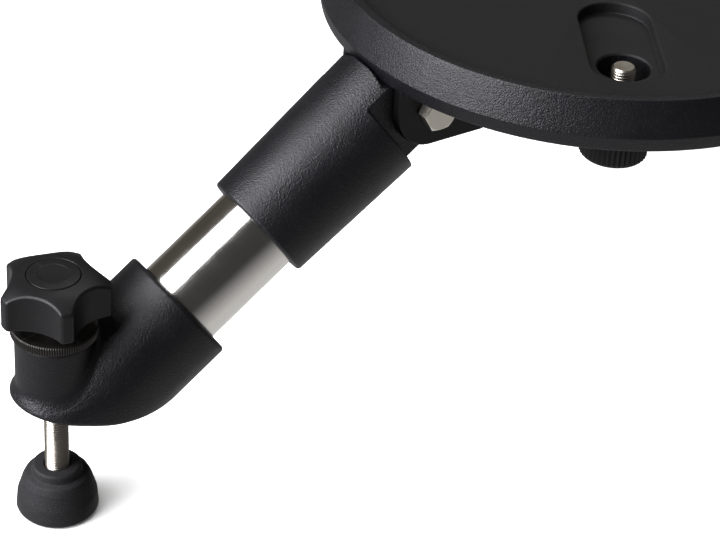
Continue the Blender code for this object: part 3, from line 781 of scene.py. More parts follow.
def fillet_profile(top, bottom, radius, foot):
    """Offsets and heights of a cutter: straight up above the edge, flared by a fillet at it, then down."""
    a = np.linspace(0, math.pi / 2, 6)
    flare = np.stack([radius * (1 - np.cos(a)), top - radius + radius * np.sin(a)], -1)[::-1]
    root = np.stack([-foot * (1 - np.cos(a)), bottom + foot - foot * np.sin(a)], -1)
    return np.concatenate([[[radius * 1.001, top + 4 * MM]], flare, root])


def tray_mesh(tray, legs):
    """The dish turned from its rounded profile, with pads, pocket walls and bosses joined and bored."""
    under = -tray.floor
    half_lip = (tray.lip_inner + tray.lip_outer) / 2
    profile = rounded([
        (0, 0, 0), (tray.lip_inner, 0, 0.5 * MM), (tray.lip_inner + 1.3 * MM, tray.lip_top, 0.9 * MM),
        (half_lip, tray.lip_top, 0), (tray.lip_outer, tray.lip_top, 0.8 * MM),
        (tray.band_radius, -tray.band_drop, 1.0 * MM), (tray.skirt_radius, -tray.skirt_drop, 1.0 * MM),
        (tray.skirt_inner, -tray.skirt_drop, 0.6 * MM), (tray.skirt_inner - 3 * MM, under, 2 * MM),
        (0, under, 0),
    ], 6)
    dish = ring_mesh("dish", spun(profile[1:-1], 288))
    inside = under + 2 * MM
    deep = -tray.pill_depth - tray.floor
    hub = rounded([(0, inside, 0), (tray.hub_radius, inside, 0), (tray.hub_radius, deep, 0.8 * MM),
                   (0, deep, 0)])[1:-1]
    joined, bored = [ring_mesh("hub", spun(hub, 96))], []
    for number in SIDES:
        joined.append(carried(pad_mesh(tray, legs, inside), leg_turn(number)))
        spot = bolt_place(number)
        turn = Matrix.Rotation(BOLT_AZIMUTHS[number], 4, "Z")
        wall = [(0, inside), (0, deep + 0.8 * MM), (-0.25 * MM, deep + 0.25 * MM), (-0.8 * MM, deep)]
        joined.append(carried(ring_mesh("wall", pill_rings(
            tray.pill_half + tray.pill_wall, tray.pill_inner, tray.pill_outer, wall)), turn))
        boss = rounded([(0, inside, 0), (tray.boss_radius, inside, 0),
                        (tray.boss_radius, -tray.boss_drop, 0.8 * MM), (0, -tray.boss_drop, 0)])[1:-1]
        joined.append(carried(ring_mesh("boss", spun(boss, 64)), spot))
        pocket = fillet_profile(0, -tray.pill_depth, 0.9 * MM, 0.7 * MM)
        bored.append(carried(ring_mesh("pocket", pill_rings(
            tray.pill_half, tray.pill_inner, tray.pill_outer, pocket)), turn))
        bore = np.array([
            (0.0, -tray.boss_drop - 5 * MM), (5.6 * MM, -tray.boss_drop - 5 * MM),
            (5.6 * MM, -tray.ledge_drop), (tray.bore, -tray.ledge_drop),
            (tray.bore, -tray.pill_depth - 0.7 * MM), (tray.bore + 0.9 * MM, -tray.pill_depth + 0.2 * MM),
            (tray.bore + 0.9 * MM, 3 * MM), (0.0, 3 * MM),
        ])[1:-1]
        bored.append(carried(ring_mesh("bore", spun(bore, 72)), spot))
        for side in (-1, 1):
            hole = np.array([(BRACKET_SCREW_HOLE, -tray.pad_drop - MM), (BRACKET_SCREW_HOLE, -2 * MM)])
            spot = Matrix.Translation((legs.screw_along, side * legs.screw_side, 0))
            bored.append(carried(ring_mesh("hole", spun(hole, 24)), leg_turn(number) @ spot))
    return boolean(boolean(dish, "UNION", joined), "DIFFERENCE", bored)


def pad_mesh(tray, legs, inside):
    """A flat pad under the floor, its outline a rectangle with rounded corners."""
    low, high, half = legs.bracket_back, legs.bracket_front, legs.ear_outer
    corner = 2 * MM
    turn = np.linspace(0, math.pi / 2, 5)
    angle = np.concatenate([turn + q * math.pi / 2 for q in range(4)])
    x = np.repeat([high - corner, low + corner, low + corner, high - corner], 5) + corner * np.cos(angle)
    y = np.repeat([half - corner, half - corner, corner - half, corner - half], 5) + corner * np.sin(angle)
    rings = [np.stack([x, y, np.full(len(x), z)], -1) for z in (inside, -tray.pad_drop)]
    return ring_mesh("pad", np.stack(rings))


def paint_tray(made, tray):
    """Floor faces inside the lip, and the pockets' floors, take the smoother second finish."""
    mesh = made.data
    centre = np.empty(len(mesh.polygons) * 3)
    normal = np.empty(len(mesh.polygons) * 3)
    mesh.polygons.foreach_get("center", centre)
    mesh.polygons.foreach_get("normal", normal)
    centre, normal = centre.reshape(-1, 3), normal.reshape(-1, 3)
    inner = np.hypot(centre[:, 0], centre[:, 1]) < tray.lip_inner - 0.2 * MM
    level = (centre[:, 2] > -tray.pill_depth - 0.5 * MM) & (normal[:, 2] > -0.1)
    mesh.polygons.foreach_set("material_index", (inner & level).astype(np.int32))


class BuildOperator:
    """What the build operators share: the settings, and execute that runs build."""

    bl_options = {"REGISTER", "UNDO"}

    def execute(self, context):
        self.build(context.scene.tracker_base)
        return {"FINISHED"}


class BuildTray(BuildOperator, bpy.types.Operator):
    """Make the tray casting"""

    bl_idname = "tracker_base.tray"
    bl_label = "Tray casting"

    def build(self, sizes):
        mesh = tray_mesh(sizes.tray, sizes.legs)
        made = piece("tray_dish", mesh, Matrix.Identity(4), [FINISHES["powder"], FINISHES["floor"]], "tray",
                     ["tray_casting"], 24)
        paint_tray(made, sizes.tray)


# ---------------------------------------------------------------- captive bolts


def straight_knurl(teeth, depth):
    """Rounded grooves: the radius falls by depth times a cosine of teeth per turn."""
    return lambda angle, height: -depth * (0.5 - 0.5 * np.cos(teeth * angle)) + 0 * height


class BuildCaptiveBolts(BuildOperator, bpy.types.Operator):
    """Make the captive bolts, their knurled knobs and their clips"""

    bl_idname = "tracker_base.captive_bolts"
    bl_label = "Captive bolts"

    def build(self, sizes):
        tray = sizes.tray
        low = -tray.knob_bottom + 3.35 * MM
        shank = ring_mesh("shank", captive_rings(tray, low, sizes.feet.thread_pitch))
        knob = ring_mesh("knob", bolt_knob_rings(tray), loop=True)
        clip = ring_mesh("clip", clip_rings(tray), loop=True)
        for k in SIDES:
            place = bolt_place(k)
            piece(f"captive_shank_{k}", shank, place, FINISHES["steel"], f"captive_bolt_{k}",
                  [f"captive_bolt_{k}"], 43)
            piece(f"knurled_knob_{k}", knob, place, FINISHES["plastic"], f"captive_bolt_{k}",
                  [f"bolt_knob_{k}"])
            piece(f"clip_ring_{k}", clip, place, FINISHES["steel"], f"clip_{k}",
                  [f"retaining_clip_{k}"])


def captive_rings(tray, low, pitch):
    """Plain shank to the clip's groove, then a thread to the chamfered tip."""
    clip = -tray.ledge_drop + GAP
    groove = 3.95 * MM
    plain = spun(np.array([
        (tray.rod - 0.6 * MM, low), (tray.rod, low + 0.6 * MM), (tray.rod, clip - GAP),
        (groove, clip - GAP), (groove, clip + CLIP_THICKNESS + GAP),
    ]), 36)
    tip = threaded(clip + CLIP_THICKNESS + GAP, -tray.tip_drop, tray.rod, pitch, 0.9 * MM, 36)
    return np.concatenate([plain, tip])


def bolt_knob_rings(tray):
    """A knurled drum with rounded edges and a bore."""
    low, high, radius = -tray.knob_bottom, -tray.knob_top, tray.knob_radius
    profile = rounded([
        (ROD_HOLE, low + 3 * MM, 0), (ROD_HOLE, high, 0.4 * MM), (radius - 1.0 * MM, high, 0.3 * MM),
        (radius, high - 1.0 * MM, 0.4 * MM), (radius, low + 1.0 * MM, 0.4 * MM),
        (radius - 1.0 * MM, low, 0.3 * MM), (7.5 * MM, low, 0.3 * MM), (7.5 * MM, low + 0.6 * MM, 0.2 * MM),
        (0.4 * MM, low + 0.6 * MM, 0), (0.4 * MM, low + 3 * MM, 0),
    ], 3)
    knurl = straight_knurl(40, 0.7 * MM)
    outer = profile[:, :1] > radius - 1.05 * MM
    return spun(profile, 320, lambda angle, height: outer * knurl(angle, height))


def clip_rings(tray):
    """A flat ring round the bolt's groove, its outer edges rounded."""
    low = -tray.ledge_drop + GAP
    high = low + CLIP_THICKNESS
    return spun(rounded([
        (4.3 * MM, low, 0), (8.45 * MM, low, 0.15 * MM), (8.45 * MM, high, 0.15 * MM), (4.3 * MM, high, 0),
    ], 2), 48)


# ---------------------------------------------------------------- brackets and pivots


def bracket_field(tray, legs):
    """A block with two rounded ears: its side outline, drawn across, less the throat and the holes."""
    top = -tray.pad_drop - GAP
    low = -PIVOT_DROP - legs.ear_radius
    skirt = -tray.skirt_drop - GAP

    def field(p):
        x, y, z = p[..., 0], p[..., 1], p[..., 2]
        lean = math.atan2(-HEEL_DROP - low, HEEL_RUN)
        back = legs.bracket_back - x
        heel = back * math.sin(lean) - (z + HEEL_DROP) * math.cos(lean)
        side = meet(meet(meet(back, z - top, 1.0 * MM), heel, 2.0 * MM), low - z, 2.5 * MM)
        end = meet(x - (PIVOT_RADIUS + legs.ear_radius), low - z, legs.ear_radius - 0.01 * MM)
        shelf = meet(x - legs.bracket_front, z - top, 0.5 * MM)
        under = np.minimum(shelf, meet(z - skirt, x - (PIVOT_RADIUS + legs.ear_radius), 0.6 * MM))
        side = np.maximum(np.maximum(side, end), under)
        whole = meet(side, abs(y) - legs.ear_outer, 0.7 * MM)
        throat = meet(abs(y) - legs.ear_inner, legs.bracket_back + 6 * MM - x, 1.5 * MM)
        throat = meet(throat, z - (top - legs.bracket_base), 1.5 * MM)
        whole = cut(whole, throat, 0.5 * MM)
        eye = np.hypot(x - PIVOT_RADIUS, z + PIVOT_DROP) - ROD_HOLE
        screws = np.hypot(x - legs.screw_along, abs(y) - legs.screw_side) - BRACKET_SCREW_HOLE
        return cut(cut(whole, eye, 0.3 * MM), screws, 0.3 * MM)

    return field


def hexagon_socket(angle, flats):
    """Radius of a hexagon by angle: half the flats over the cosine of the turn from the nearest flat."""
    return flats / 2 / np.cos((angle + math.pi / 6) % (math.pi / 3) - math.pi / 6)


def socket_screw_rings(outline, flats, depth):
    """A turned outline from its tip round to its head, then down a hexagonal socket to its floor.

    The outline ends at the head's face, whose height is the socket's mouth; depth is signed.
    """
    shell = spun(outline, 48)
    angle = np.linspace(0, math.tau, 48, endpoint=False)
    edge = hexagon_socket(angle, flats)
    mouth = outline[-1, 1]
    rows = [np.stack([edge * g * np.cos(angle), edge * g * np.sin(angle), np.full(48, h)], -1)
            for g, h in ((1.08, mouth), (1.0, mouth + depth * 0.08), (1.0, mouth + depth),
                         (0.3, mouth + depth * 1.15))]
    return np.concatenate([shell, np.stack(rows)])


class BuildBrackets(BuildOperator, bpy.types.Operator):
    """Make the fork brackets and the screws that hold them"""

    bl_idname = "tracker_base.brackets"
    bl_label = "Fork brackets"

    def build(self, sizes):
        tray, legs = sizes.tray, sizes.legs
        edge = PIVOT_RADIUS + legs.ear_radius
        shape = field_mesh(
            "bracket", bracket_field(tray, legs),
            (legs.bracket_back, -legs.ear_outer, -PIVOT_DROP - legs.ear_radius),
            (edge, legs.ear_outer, -tray.pad_drop), 0.75 * MM,
        )
        seat = -tray.pad_drop - GAP - legs.bracket_base - GAP
        outline = rounded([
            (0, -3 * MM, 0), (2.45 * MM, -3 * MM, 0.3 * MM), (2.45 * MM, seat, 0.1 * MM),
            (4.65 * MM, seat, 0.3 * MM), (4.65 * MM, seat - 0.9 * MM, 1.2 * MM),
            (2.2 * MM, seat - 2.95 * MM, 0.3 * MM), (1.75 * MM, seat - 2.95 * MM, 0),
        ], 4)[1:]
        screw = ring_mesh("screw", socket_screw_rings(outline, 3.0 * MM, 1.8 * MM))
        for k in SIDES:
            piece(f"fork_ears_{k}", shape, leg_turn(k), FINISHES["satin"], "tray", [f"fork_bracket_{k}"])
            for letter, side in (("a", -1), ("b", 1)):
                spot = Matrix.Translation((legs.screw_along, side * legs.screw_side, 0))
                piece(f"button_screw_{k}{letter}", screw, leg_turn(k) @ spot, FINISHES["hardware"], "tray",
                      [f"bracket_screw_{k}{letter}"])


def along_fold_axis(name, rings, loop=False):
    """A shape made about Z, turned so that its Z points along the fold axis, Y."""
    return carried(ring_mesh(name, rings, loop), Matrix.Rotation(-math.pi / 2, 4, "X"))


def pivot_bolt_mesh(legs, rod, pitch):
    """Hexagonal head at +Y, plain shank through the ears, thread at the far end."""
    seat = legs.ear_outer + GAP
    far = -seat - legs.nut_height - 3 * MM
    head = hexagonal(legs.head_flats, seat, seat + legs.head_height, 0.12)
    columns = head.shape[1]
    shank = np.array([(rod, -legs.ear_outer), (rod, seat - 0.01 * MM)])
    thread = threaded(far, -legs.ear_outer, rod, pitch, 0.9 * MM, columns)
    return along_fold_axis("pivot_bolt", np.concatenate([thread, spun(shank, columns), head[1:]]))


def pivot_nut_mesh(legs):
    """A hexagonal nut with a bore, its rings closed on themselves."""
    seat = legs.ear_outer + GAP
    outer = hexagonal(legs.nut_flats, -seat - legs.nut_height, -seat)[1:-1]
    bore = spun(np.array([
        (6.0 * MM, -seat), (5.35 * MM, -seat - 0.6 * MM), (5.35 * MM, -seat - legs.nut_height + 0.6 * MM),
        (6.0 * MM, -seat - legs.nut_height),
    ]), outer.shape[1])
    return along_fold_axis("pivot_nut", np.concatenate([outer, bore]), loop=True)


class BuildPivots(BuildOperator, bpy.types.Operator):
    """Make the pivot bolts and nuts of the folding legs"""

    bl_idname = "tracker_base.pivots"
    bl_label = "Pivot bolts"

    def build(self, sizes):
        bolt = pivot_bolt_mesh(sizes.legs, sizes.tray.rod, sizes.feet.thread_pitch)
        nut = pivot_nut_mesh(sizes.legs)
        for k in SIDES:
            piece(f"hex_bolt_{k}", bolt, pivot_place(k), FINISHES["steel"], "tray", [f"pivot_bolt_{k}"],
                  20)
            piece(f"hex_nut_{k}", nut, pivot_place(k), FINISHES["steel"], "tray", [f"pivot_nut_{k}"])


# ---------------------------------------------------------------- legs


def leg_casting_field(tray, legs):
    """A tapered sleeve stepped down to a flat-sided tongue, hollowed for the tube and cut by the rim."""
    lean, level = math.sin(legs.slope), math.cos(legs.slope)

    def field(p):
        x, y, z = p[..., 0], p[..., 1], p[..., 2]
        off_axis = np.hypot(y, z)
        skin = off_axis - (legs.mouth_radius + legs.taper * (legs.mouth - x))
        skin = meet(skin, x - legs.mouth, 1.4 * MM)
        beside = join(abs(y) - legs.tongue_half, legs.step - x, 0.8 * MM)
        heel = meet(-x - legs.tongue_radius, -z - legs.tongue_radius, legs.tongue_radius - 0.01 * MM)
        below = join(heel, legs.step - x, 0.8 * MM)
        whole = meet(meet(skin, beside, 0.5 * MM), below, 0.5 * MM)
        height = -PIVOT_DROP - lean * x + level * z
        out = np.hypot(PIVOT_RADIUS + level * x + lean * z, y) - (tray.band_radius + legs.tray_gap)
        rim = np.maximum(out, -(height + tray.skirt_drop + legs.tray_gap))
        whole = cut(whole, rim, 0.6 * MM)
        bore = np.maximum(off_axis - legs.socket, legs.tube_start - 2 * MM - x)
        eye = np.hypot(x, z) - ROD_HOLE
        grub = np.maximum(np.hypot(x - legs.upper_screw, y) - GRUB_HOLE, z)
        return cut(cut(cut(whole, bore, 0.5 * MM), eye, 0.3 * MM), grub, 0.4 * MM)

    return field


def grub_rings(inner, outer):
    """A short set screw along Z: flat tip inside, hexagonal socket in its outer end."""
    outline = rounded([
        (0, inner, 0), (2.4 * MM, inner, 0.1 * MM), (2.95 * MM, inner - 0.6 * MM, 0.2 * MM),
        (2.95 * MM, outer + 0.4 * MM, 0.2 * MM), (2.5 * MM, outer, 0.1 * MM), (1.8 * MM, outer, 0),
    ], 3)[1:]
    return socket_screw_rings(outline, 2.9 * MM, 1.7 * MM)


class BuildLegs(BuildOperator, bpy.types.Operator):
    """Make the leg castings, their tubes and the set screws"""

    bl_idname = "tracker_base.legs"
    bl_label = "Legs"

    def build(self, sizes):
        tray, legs, feet = sizes.tray, sizes.legs, sizes.feet
        wide = legs.mouth_radius + legs.taper * legs.mouth
        casting = field_mesh(
            "leg_casting", leg_casting_field(tray, legs),
            (-legs.tongue_radius, -wide, -wide), (legs.mouth, wide, wide), 0.8 * MM,
        )
        inner = legs.tube_radius - legs.tube_wall
        sunk = 0.65 * MM
        tube = spun(rounded([
            (inner, legs.tube_start, 0), (legs.tube_radius, legs.tube_start, 0.3 * MM),
            (legs.tube_radius, legs.tube_end, 0.3 * MM), (inner, legs.tube_end, 0.3 * MM),
        ], 3), 192)
        tube = carried(ring_mesh("tube", tube, loop=True), Matrix.Rotation(math.pi / 2, 4, "Y"))
        sleeve = legs.mouth_radius + legs.taper * (legs.mouth - legs.upper_screw)
        screws = {
            label: (along, ring_mesh("grub", grub_rings(-legs.tube_radius - GAP, sunk - skin)))
            for label, along, skin in (("upper", legs.upper_screw, sleeve),
                                       ("lower", legs.lower_screw, feet.socket_radius))
        }
        for k in SIDES:
            place = tube_place(k, legs)
            piece(f"leg_sleeve_{k}", casting, place, FINISHES["powder"], f"leg_{k}", [f"leg_casting_{k}"])
            piece(f"steel_tube_{k}", tube, place, FINISHES["tube"], f"leg_{k}", [f"leg_tube_{k}"])
            for label, (along, mesh) in screws.items():
                piece(f"{label}_grub_{k}", mesh, place @ Matrix.Translation((along, 0, 0)),
                      FINISHES["hardware"], f"leg_{k}", [f"{label}_set_screw_{k}"])


# ---------------------------------------------------------------- feet


def foot_casting_field(legs, feet):
    """An upright boss run into the tube's slanted socket, over an underside that rises to a round toe.

    The toe's plan is the hull of two circles: one near the screw, one further back. A point's distance
    to that hull is its distance to the tapered capsule between their centres.
    """
    lean, level = math.sin(legs.slope), math.cos(legs.slope)
    reach = (FOOT_RADIUS - PIVOT_RADIUS) / level
    axis_height = -GROUND - PIVOT_DROP - reach * lean
    wide = feet.socket_radius + 1 * MM
    tilt = (wide - feet.toe_radius) / feet.flare
    slant = math.sqrt(1 - tilt * tilt)

    def field(p):
        x, y, h = p[..., 0], p[..., 1], p[..., 2]
        along = x * level - (h - axis_height) * lean + reach
        out = x * lean + (h - axis_height) * level
        off_axis = np.hypot(y, out)
        socket = meet(off_axis - feet.socket_radius, feet.mouth - along, 1.6 * MM)
        side, nose = abs(y), x + feet.toe_set
        edge = side * tilt - nose * slant
        back = np.where(-nose < feet.flare, np.hypot(nose + feet.flare, y), side) - wide
        flank = side * slant + nose * tilt - feet.toe_radius
        toe = np.where(edge < 0, np.hypot(nose, y) - feet.toe_radius,
                       np.where(edge > feet.flare * slant, back, flank))
        socket = meet(socket, toe, 2.5 * MM)
        under = meet(feet.bottom + feet.bottom_rise * x - h, feet.bottom_low - h, 4 * MM)
        boss = meet(np.hypot(x, y) - feet.boss_radius, h - feet.boss_top, 1.0 * MM)
        whole = meet(join(socket, boss, feet.fillet), under, 2.0 * MM)
        bore = np.maximum(off_axis - legs.socket, along - legs.tube_end - 1 * MM)
        screw = np.hypot(x, y) - SCREW_HOLE
        grub = np.maximum(np.hypot(along - legs.lower_screw, y) - GRUB_HOLE, out)
        return cut(cut(cut(whole, bore, 0.5 * MM), screw, 0.6 * MM), grub, 0.4 * MM)

    return field


def lock_ring_rings(feet):
    """A thin knurled ring with chamfered edges."""
    radius, low, high = feet.ring_radius, feet.ring_bottom, feet.ring_top
    profile = rounded([
        (SCREW_HOLE, low, 0), (radius - 0.6 * MM, low, 0.2 * MM), (radius, low + 0.6 * MM, 0.2 * MM),
        (radius, high - 0.6 * MM, 0.2 * MM), (radius - 0.6 * MM, high, 0.2 * MM),
        (radius - 3.0 * MM, high, 0.1 * MM), (radius - 3.4 * MM, high - 0.4 * MM, 0.1 * MM),
        (SCREW_HOLE, high - 0.4 * MM, 0),
    ], 2)
    outer = profile[:, :1] > radius - 0.35 * MM
    knurl = straight_knurl(110, 0.35 * MM)
    return spun(profile, 660, lambda angle, height: outer * knurl(angle, height))


def star_knob_field(feet):
    """A disc cut by five round scoops, with rounded edges, a domed top, a cap seat and a bore."""
    half_pitch = math.pi / 5
    half_tip = math.asin(feet.knob_tip_width / 2 / feet.knob_tip)
    across_tips = feet.knob_tip * math.sin(half_pitch - half_tip)
    rise = feet.knob_tip * math.cos(half_pitch - half_tip) - feet.knob_valley
    scoop = (across_tips ** 2 + rise ** 2) / (2 * rise)
    centre = feet.knob_valley + scoop

    def field(p):
        x, y, h = p[..., 0], p[..., 1], p[..., 2]
        radius = np.hypot(x, y)
        turn = (np.arctan2(y, x) - KNOB_PHASE) % (2 * half_pitch) - half_pitch
        hollow = np.hypot(radius * np.cos(turn) - centre, radius * np.sin(turn)) - scoop
        grip = meet(radius - feet.knob_tip, -hollow, 1.0 * MM)
        dome = h - feet.knob_top - feet.knob_dome * (1 - (radius / feet.knob_tip) ** 3.4)
        grip = meet(meet(grip, dome * 0.85, 0.9 * MM), feet.knob_bottom - h, 1.2 * MM)
        hub = meet(radius - feet.hub_radius, feet.knob_bottom - 0.75 * MM - h, 0.4 * MM)
        hub = np.maximum(hub, h - feet.knob_bottom - 2 * MM)
        whole = join(grip, hub, 0.4 * MM)
        seat = np.maximum(radius - feet.cap_radius - 0.25 * MM, feet.knob_top + 2.7 * MM - h)
        bore = np.maximum(radius - ROD_HOLE, h - feet.rod_top - GAP)
        return cut(cut(whole, seat, 0.25 * MM), bore, 0.4 * MM)

    return field


def cap_rings(feet):
    """A shallow cap with a rounded rim and a fine step inside it."""
    low, radius = feet.knob_top + 3.0 * MM, feet.cap_radius
    return spun(rounded([
        (0, low, 0), (radius, low, 0.2 * MM), (radius, low + 1.45 * MM, 0.35 * MM),
        (radius * 0.62, low + 1.75 * MM, 0.2 * MM), (radius * 0.58, low + 1.55 * MM, 0.2 * MM),
        (0, low + 1.8 * MM, 0),
    ], 4)[1:-1], 96)


def rubber_rings(feet):
    """A stepped, slightly bellied cone with a bore for the screw and a pocket for the metal insert."""
    radius, top = feet.rubber_radius, feet.rubber_top
    return spun(rounded([
        (0.6 * MM, 0, 0), (radius - 1.2 * MM, 0, 0.3 * MM), (radius, 1.6 * MM, 1.0 * MM),
        (radius - 0.55 * MM, 8 * MM, 4 * MM), (14.2 * MM, 14.6 * MM, 1.4 * MM),
        (12.9 * MM, 17.3 * MM, 1.6 * MM), (10.45 * MM, 18.2 * MM, 0.7 * MM),
        (10.0 * MM, top - 0.7 * MM, 0.5 * MM), (9.3 * MM, top, 0.5 * MM), (SCREW_HOLE, top, 0.5 * MM),
        (SCREW_HOLE, 16.3 * MM, 0), (7.8 * MM, 16.3 * MM, 0), (7.8 * MM, 5.7 * MM, 0),
        (0.6 * MM, 5.7 * MM, 0),
    ], 5), 144)


def insert_rings():
    """A plain sleeve inside the rubber, round the screw's lower end."""
    return spun(rounded([
        (ROD_HOLE, 6 * MM, 0), (7.5 * MM, 6 * MM, 0.3 * MM), (7.5 * MM, 16 * MM, 0.3 * MM),
        (ROD_HOLE, 16 * MM, 0),
    ], 2), 48)


class BuildFeet(BuildOperator, bpy.types.Operator):
    """Make the foot castings, lock rings, levelling screws, star knobs and rubber feet"""

    bl_idname = "tracker_base.feet"
    bl_label = "Levelling feet"

    def build(self, sizes):
        legs, feet = sizes.legs, sizes.feet
        casting = field_mesh("foot_casting", foot_casting_field(legs, feet),
                             (-82 * MM, -27 * MM, feet.bottom_low), (20 * MM, 27 * MM, 108 * MM), 0.8 * MM)
        knob = field_mesh("star_knob", star_knob_field(feet),
                          (-feet.knob_tip, -feet.knob_tip, feet.knob_bottom - 0.8 * MM),
                          (feet.knob_tip, feet.knob_tip, feet.knob_top + feet.knob_dome), 0.5 * MM)
        rod = threaded(feet.rod_end, feet.rod_top, sizes.tray.rod, feet.thread_pitch, 0.9 * MM)
        shapes = [
            ("foot_boss", casting, "powder", "leg", "foot_casting", "powder_coat"),
            ("knurled_ring", ring_mesh("ring", lock_ring_rings(feet), loop=True), "hardware", "lock_ring",
             "lock_ring", "black_hardware"),
            ("threaded_rod", ring_mesh("rod", rod), "steel", "screw", "levelling_screw", "bright_steel"),
            ("star_grip", knob, "plastic", "screw", "star_knob", "black_plastic"),
            ("grip_cap", ring_mesh("cap", cap_rings(feet)), "plastic", "screw", "knob_cap", "black_plastic"),
            ("rubber_cup", ring_mesh("rubber", rubber_rings(feet), loop=True), "rubber", "foot",
             "rubber_foot", "black_rubber"),
            ("metal_insert", ring_mesh("insert", insert_rings(), loop=True), "steel", "foot",
             "foot_insert", "bright_steel"),
        ]
        for k in SIDES:
            for name, mesh, finish, body, node, slot in shapes:
                piece(f"{name}_{k}", mesh, foot_place(k), FINISHES[finish], f"{body}_{k}", [f"{node}_{k}"],
                      43 if finish == "steel" else 30)


# ---------------------------------------------------------------- studio


def lamp(name, place, target, size, power, tint):
    """A rectangular lamp turned to face its target."""
    data = bpy.data.lights.new(name, "AREA")
    data.shape, data.size, data.size_y = "RECTANGLE", size[0], size[1]
    data.energy, data.color = power, tint
    made = bpy.data.objects.new(name, data)
    made.location = place
    made.rotation_euler = (Vector(place) - Vector(target)).to_track_quat("Z", "Y").to_euler()
    bpy.context.scene.collection.objects.link(made)
    return made


def floor_finish(studio):
    """A pale floor that glows a little, its glow dimmed close under the feet as a painted contact shadow."""
    made, tree, shader = new_finish("studio_floor", specular=0.2)
    noise = add(tree, "ShaderNodeTexNoise",
                {"Vector": position_of(tree, "object"), "Scale": 2.0, "Detail": 2.0})
    tone = tuple(studio.floor)
    tree.links.new(mixed_colour(tree, noise.outputs[0], lighter(tone, 0.97), tone), shader["Base Color"])
    shader["Roughness"].default_value = 0.8
    shader["Emission Color"].default_value = (1, 1, 1, 1)
    # Ambient occlusion dims the glow near the feet: a painted contact shadow.
    near = add(tree, "ShaderNodeAmbientOcclusion", {"Distance": 30 * MM}, samples=8).outputs["AO"]
    soft = add(tree, "ShaderNodeMath", {0: near, 1: 1.5}, operation="POWER").outputs[0]
    glow = add(tree, "ShaderNodeMath", {0: soft, 1: studio.floor_glow}, operation="MULTIPLY").outputs[0]
    tree.links.new(glow, shader["Emission Strength"])
    return made


def studio_world():
    """Soft surroundings by the ray's direction: dark in front, warmer and paler behind, pale below."""
    world = bpy.data.worlds.new("studio")
    world.use_nodes = True
    tree = world.node_tree
    direction = add(tree, "ShaderNodeTexCoord").outputs["Generated"]
    parts = add(tree, "ShaderNodeSeparateXYZ", {"Vector": direction}).outputs
    depth = add(tree, "ShaderNodeMapRange", {"Value": parts["Y"], "From Min": -0.6, "From Max": 0.7})
    round_about = mixed_colour(tree, depth.outputs[0], (0.10, 0.10, 0.10), (0.14, 0.13, 0.11))
    down = add(tree, "ShaderNodeMapRange", {"Value": parts["Z"], "From Min": 0.02, "From Max": -0.75})
    blend = add(tree, "ShaderNodeMix", data_type="RGBA")
    tree.links.new(down.outputs[0], blend.inputs["Factor"])
    tree.links.new(round_about, blend.inputs[6])
    blend.inputs[7].default_value = (0.80, 0.80, 0.80, 1)
    tree.links.new(blend.outputs[2], tree.nodes["Background"].inputs["Color"])
    bpy.context.scene.world = world


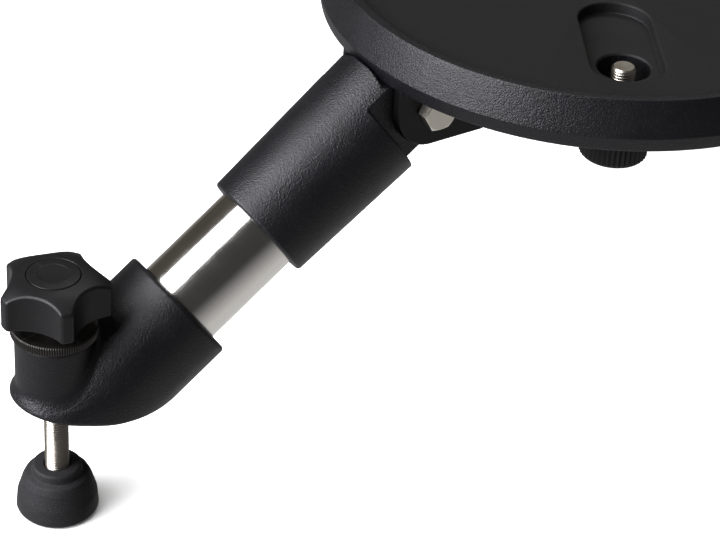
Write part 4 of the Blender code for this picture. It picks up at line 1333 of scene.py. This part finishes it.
class BuildStudio(BuildOperator, bpy.types.Operator):
    """Make the floor, the lamps, the surroundings and the camera"""

    bl_idname = "tracker_base.studio"
    bl_label = "Studio"

    def build(self, sizes):
        studio = sizes.studio
        half = 6.0
        points = np.array([(-half, -half, 0), (half, -half, 0), (half, half, 0), (-half, half, 0)])
        points[:, 2] = GROUND - 0.1 * MM
        mesh = bpy.data.meshes.new("floor")
        mesh.from_pydata(points.tolist(), [], [(0, 1, 2, 3)])
        mesh.materials.append(floor_finish(studio))
        floor = bpy.data.objects.new("studio_floor", mesh)
        bpy.context.scene.collection.objects.link(floor)
        floor.visible_diffuse = floor.visible_glossy = False
        studio_world()
        lamp("side_lamp", (-1.2, -0.45, 1.15), (0, 0, 0), (1.35, 1.55), studio.side_power, (0.97, 0.97, 1.0))
        lamp("low_lamp", (-1.15, -0.66, 0.34), (0, -0.1, 0), (1.0, 0.75), studio.low_power, (0.97, 0.97, 1.0))
        lamp("top_lamp", (0.3, 0.9, 1.5), (0, 0, 0), (1.2, 0.8), studio.top_power, (1, 1, 1))
        back, up = Vector(studio.camera_back).normalized(), Vector(studio.camera_up).normalized()
        right = up.cross(back)
        turn = Matrix((right, up, back)).transposed().to_4x4()
        data = bpy.data.cameras.new("camera")
        data.lens, data.sensor_width, data.clip_end = studio.lens, 36, 50
        camera = bpy.data.objects.new("camera", data)
        camera.matrix_world = Matrix.Translation(studio.camera_place) @ turn
        bpy.context.scene.collection.objects.link(camera)
        bpy.context.scene.camera = camera
        bpy.context.scene.view_settings.view_transform = "Standard"
        bpy.context.scene.view_settings.gamma = 0.8


# ---------------------------------------------------------------- add-on


class TrackerBase(bpy.types.PropertyGroup):
    """Everything a user may change."""

    tray: bpy.props.PointerProperty(type=TraySizes)
    legs: bpy.props.PointerProperty(type=LegSizes)
    feet: bpy.props.PointerProperty(type=FootSizes)
    finishes: bpy.props.PointerProperty(type=Finishes)
    studio: bpy.props.PointerProperty(type=Studio)


class BuildFinishes(BuildOperator, bpy.types.Operator):
    """Make the shader groups and the finishes that the pieces use"""

    bl_idname = "tracker_base.finishes"
    bl_label = "Finishes"

    def build(self, sizes):
        make_finishes(sizes.finishes)


OPERATORS = (BuildFinishes, BuildTray, BuildCaptiveBolts, BuildBrackets, BuildPivots, BuildLegs, BuildFeet,
             BuildStudio)


class TrackerBasePanel(bpy.types.Panel):
    """Lists the sizes, the colours and the build steps."""

    bl_idname = "VIEW3D_PT_tracker_base"
    bl_label = "Tracker base"
    bl_space_type = "VIEW_3D"
    bl_region_type = "UI"
    bl_category = "Tracker base"

    def draw(self, context):
        base = context.scene.tracker_base
        for step in OPERATORS:
            self.layout.operator(step.bl_idname)
        for group in (base.tray, base.legs, base.feet, base.finishes, base.studio):
            box = self.layout.box()
            for name in group.__annotations__:
                box.prop(group, name)


CLASSES = (TraySizes, LegSizes, FootSizes, Finishes, Studio, TrackerBase, *OPERATORS, TrackerBasePanel)


def register():
    for made in CLASSES:
        bpy.utils.register_class(made)
    bpy.types.Scene.tracker_base = bpy.props.PointerProperty(type=TrackerBase)


def unregister():
    del bpy.types.Scene.tracker_base
    for made in reversed(CLASSES):
        bpy.utils.unregister_class(made)


def main():
    register()
    for step in OPERATORS:
        group, name = step.bl_idname.split(".")
        getattr(getattr(bpy.ops, group), name)()


if __name__ == "__main__":
    main()
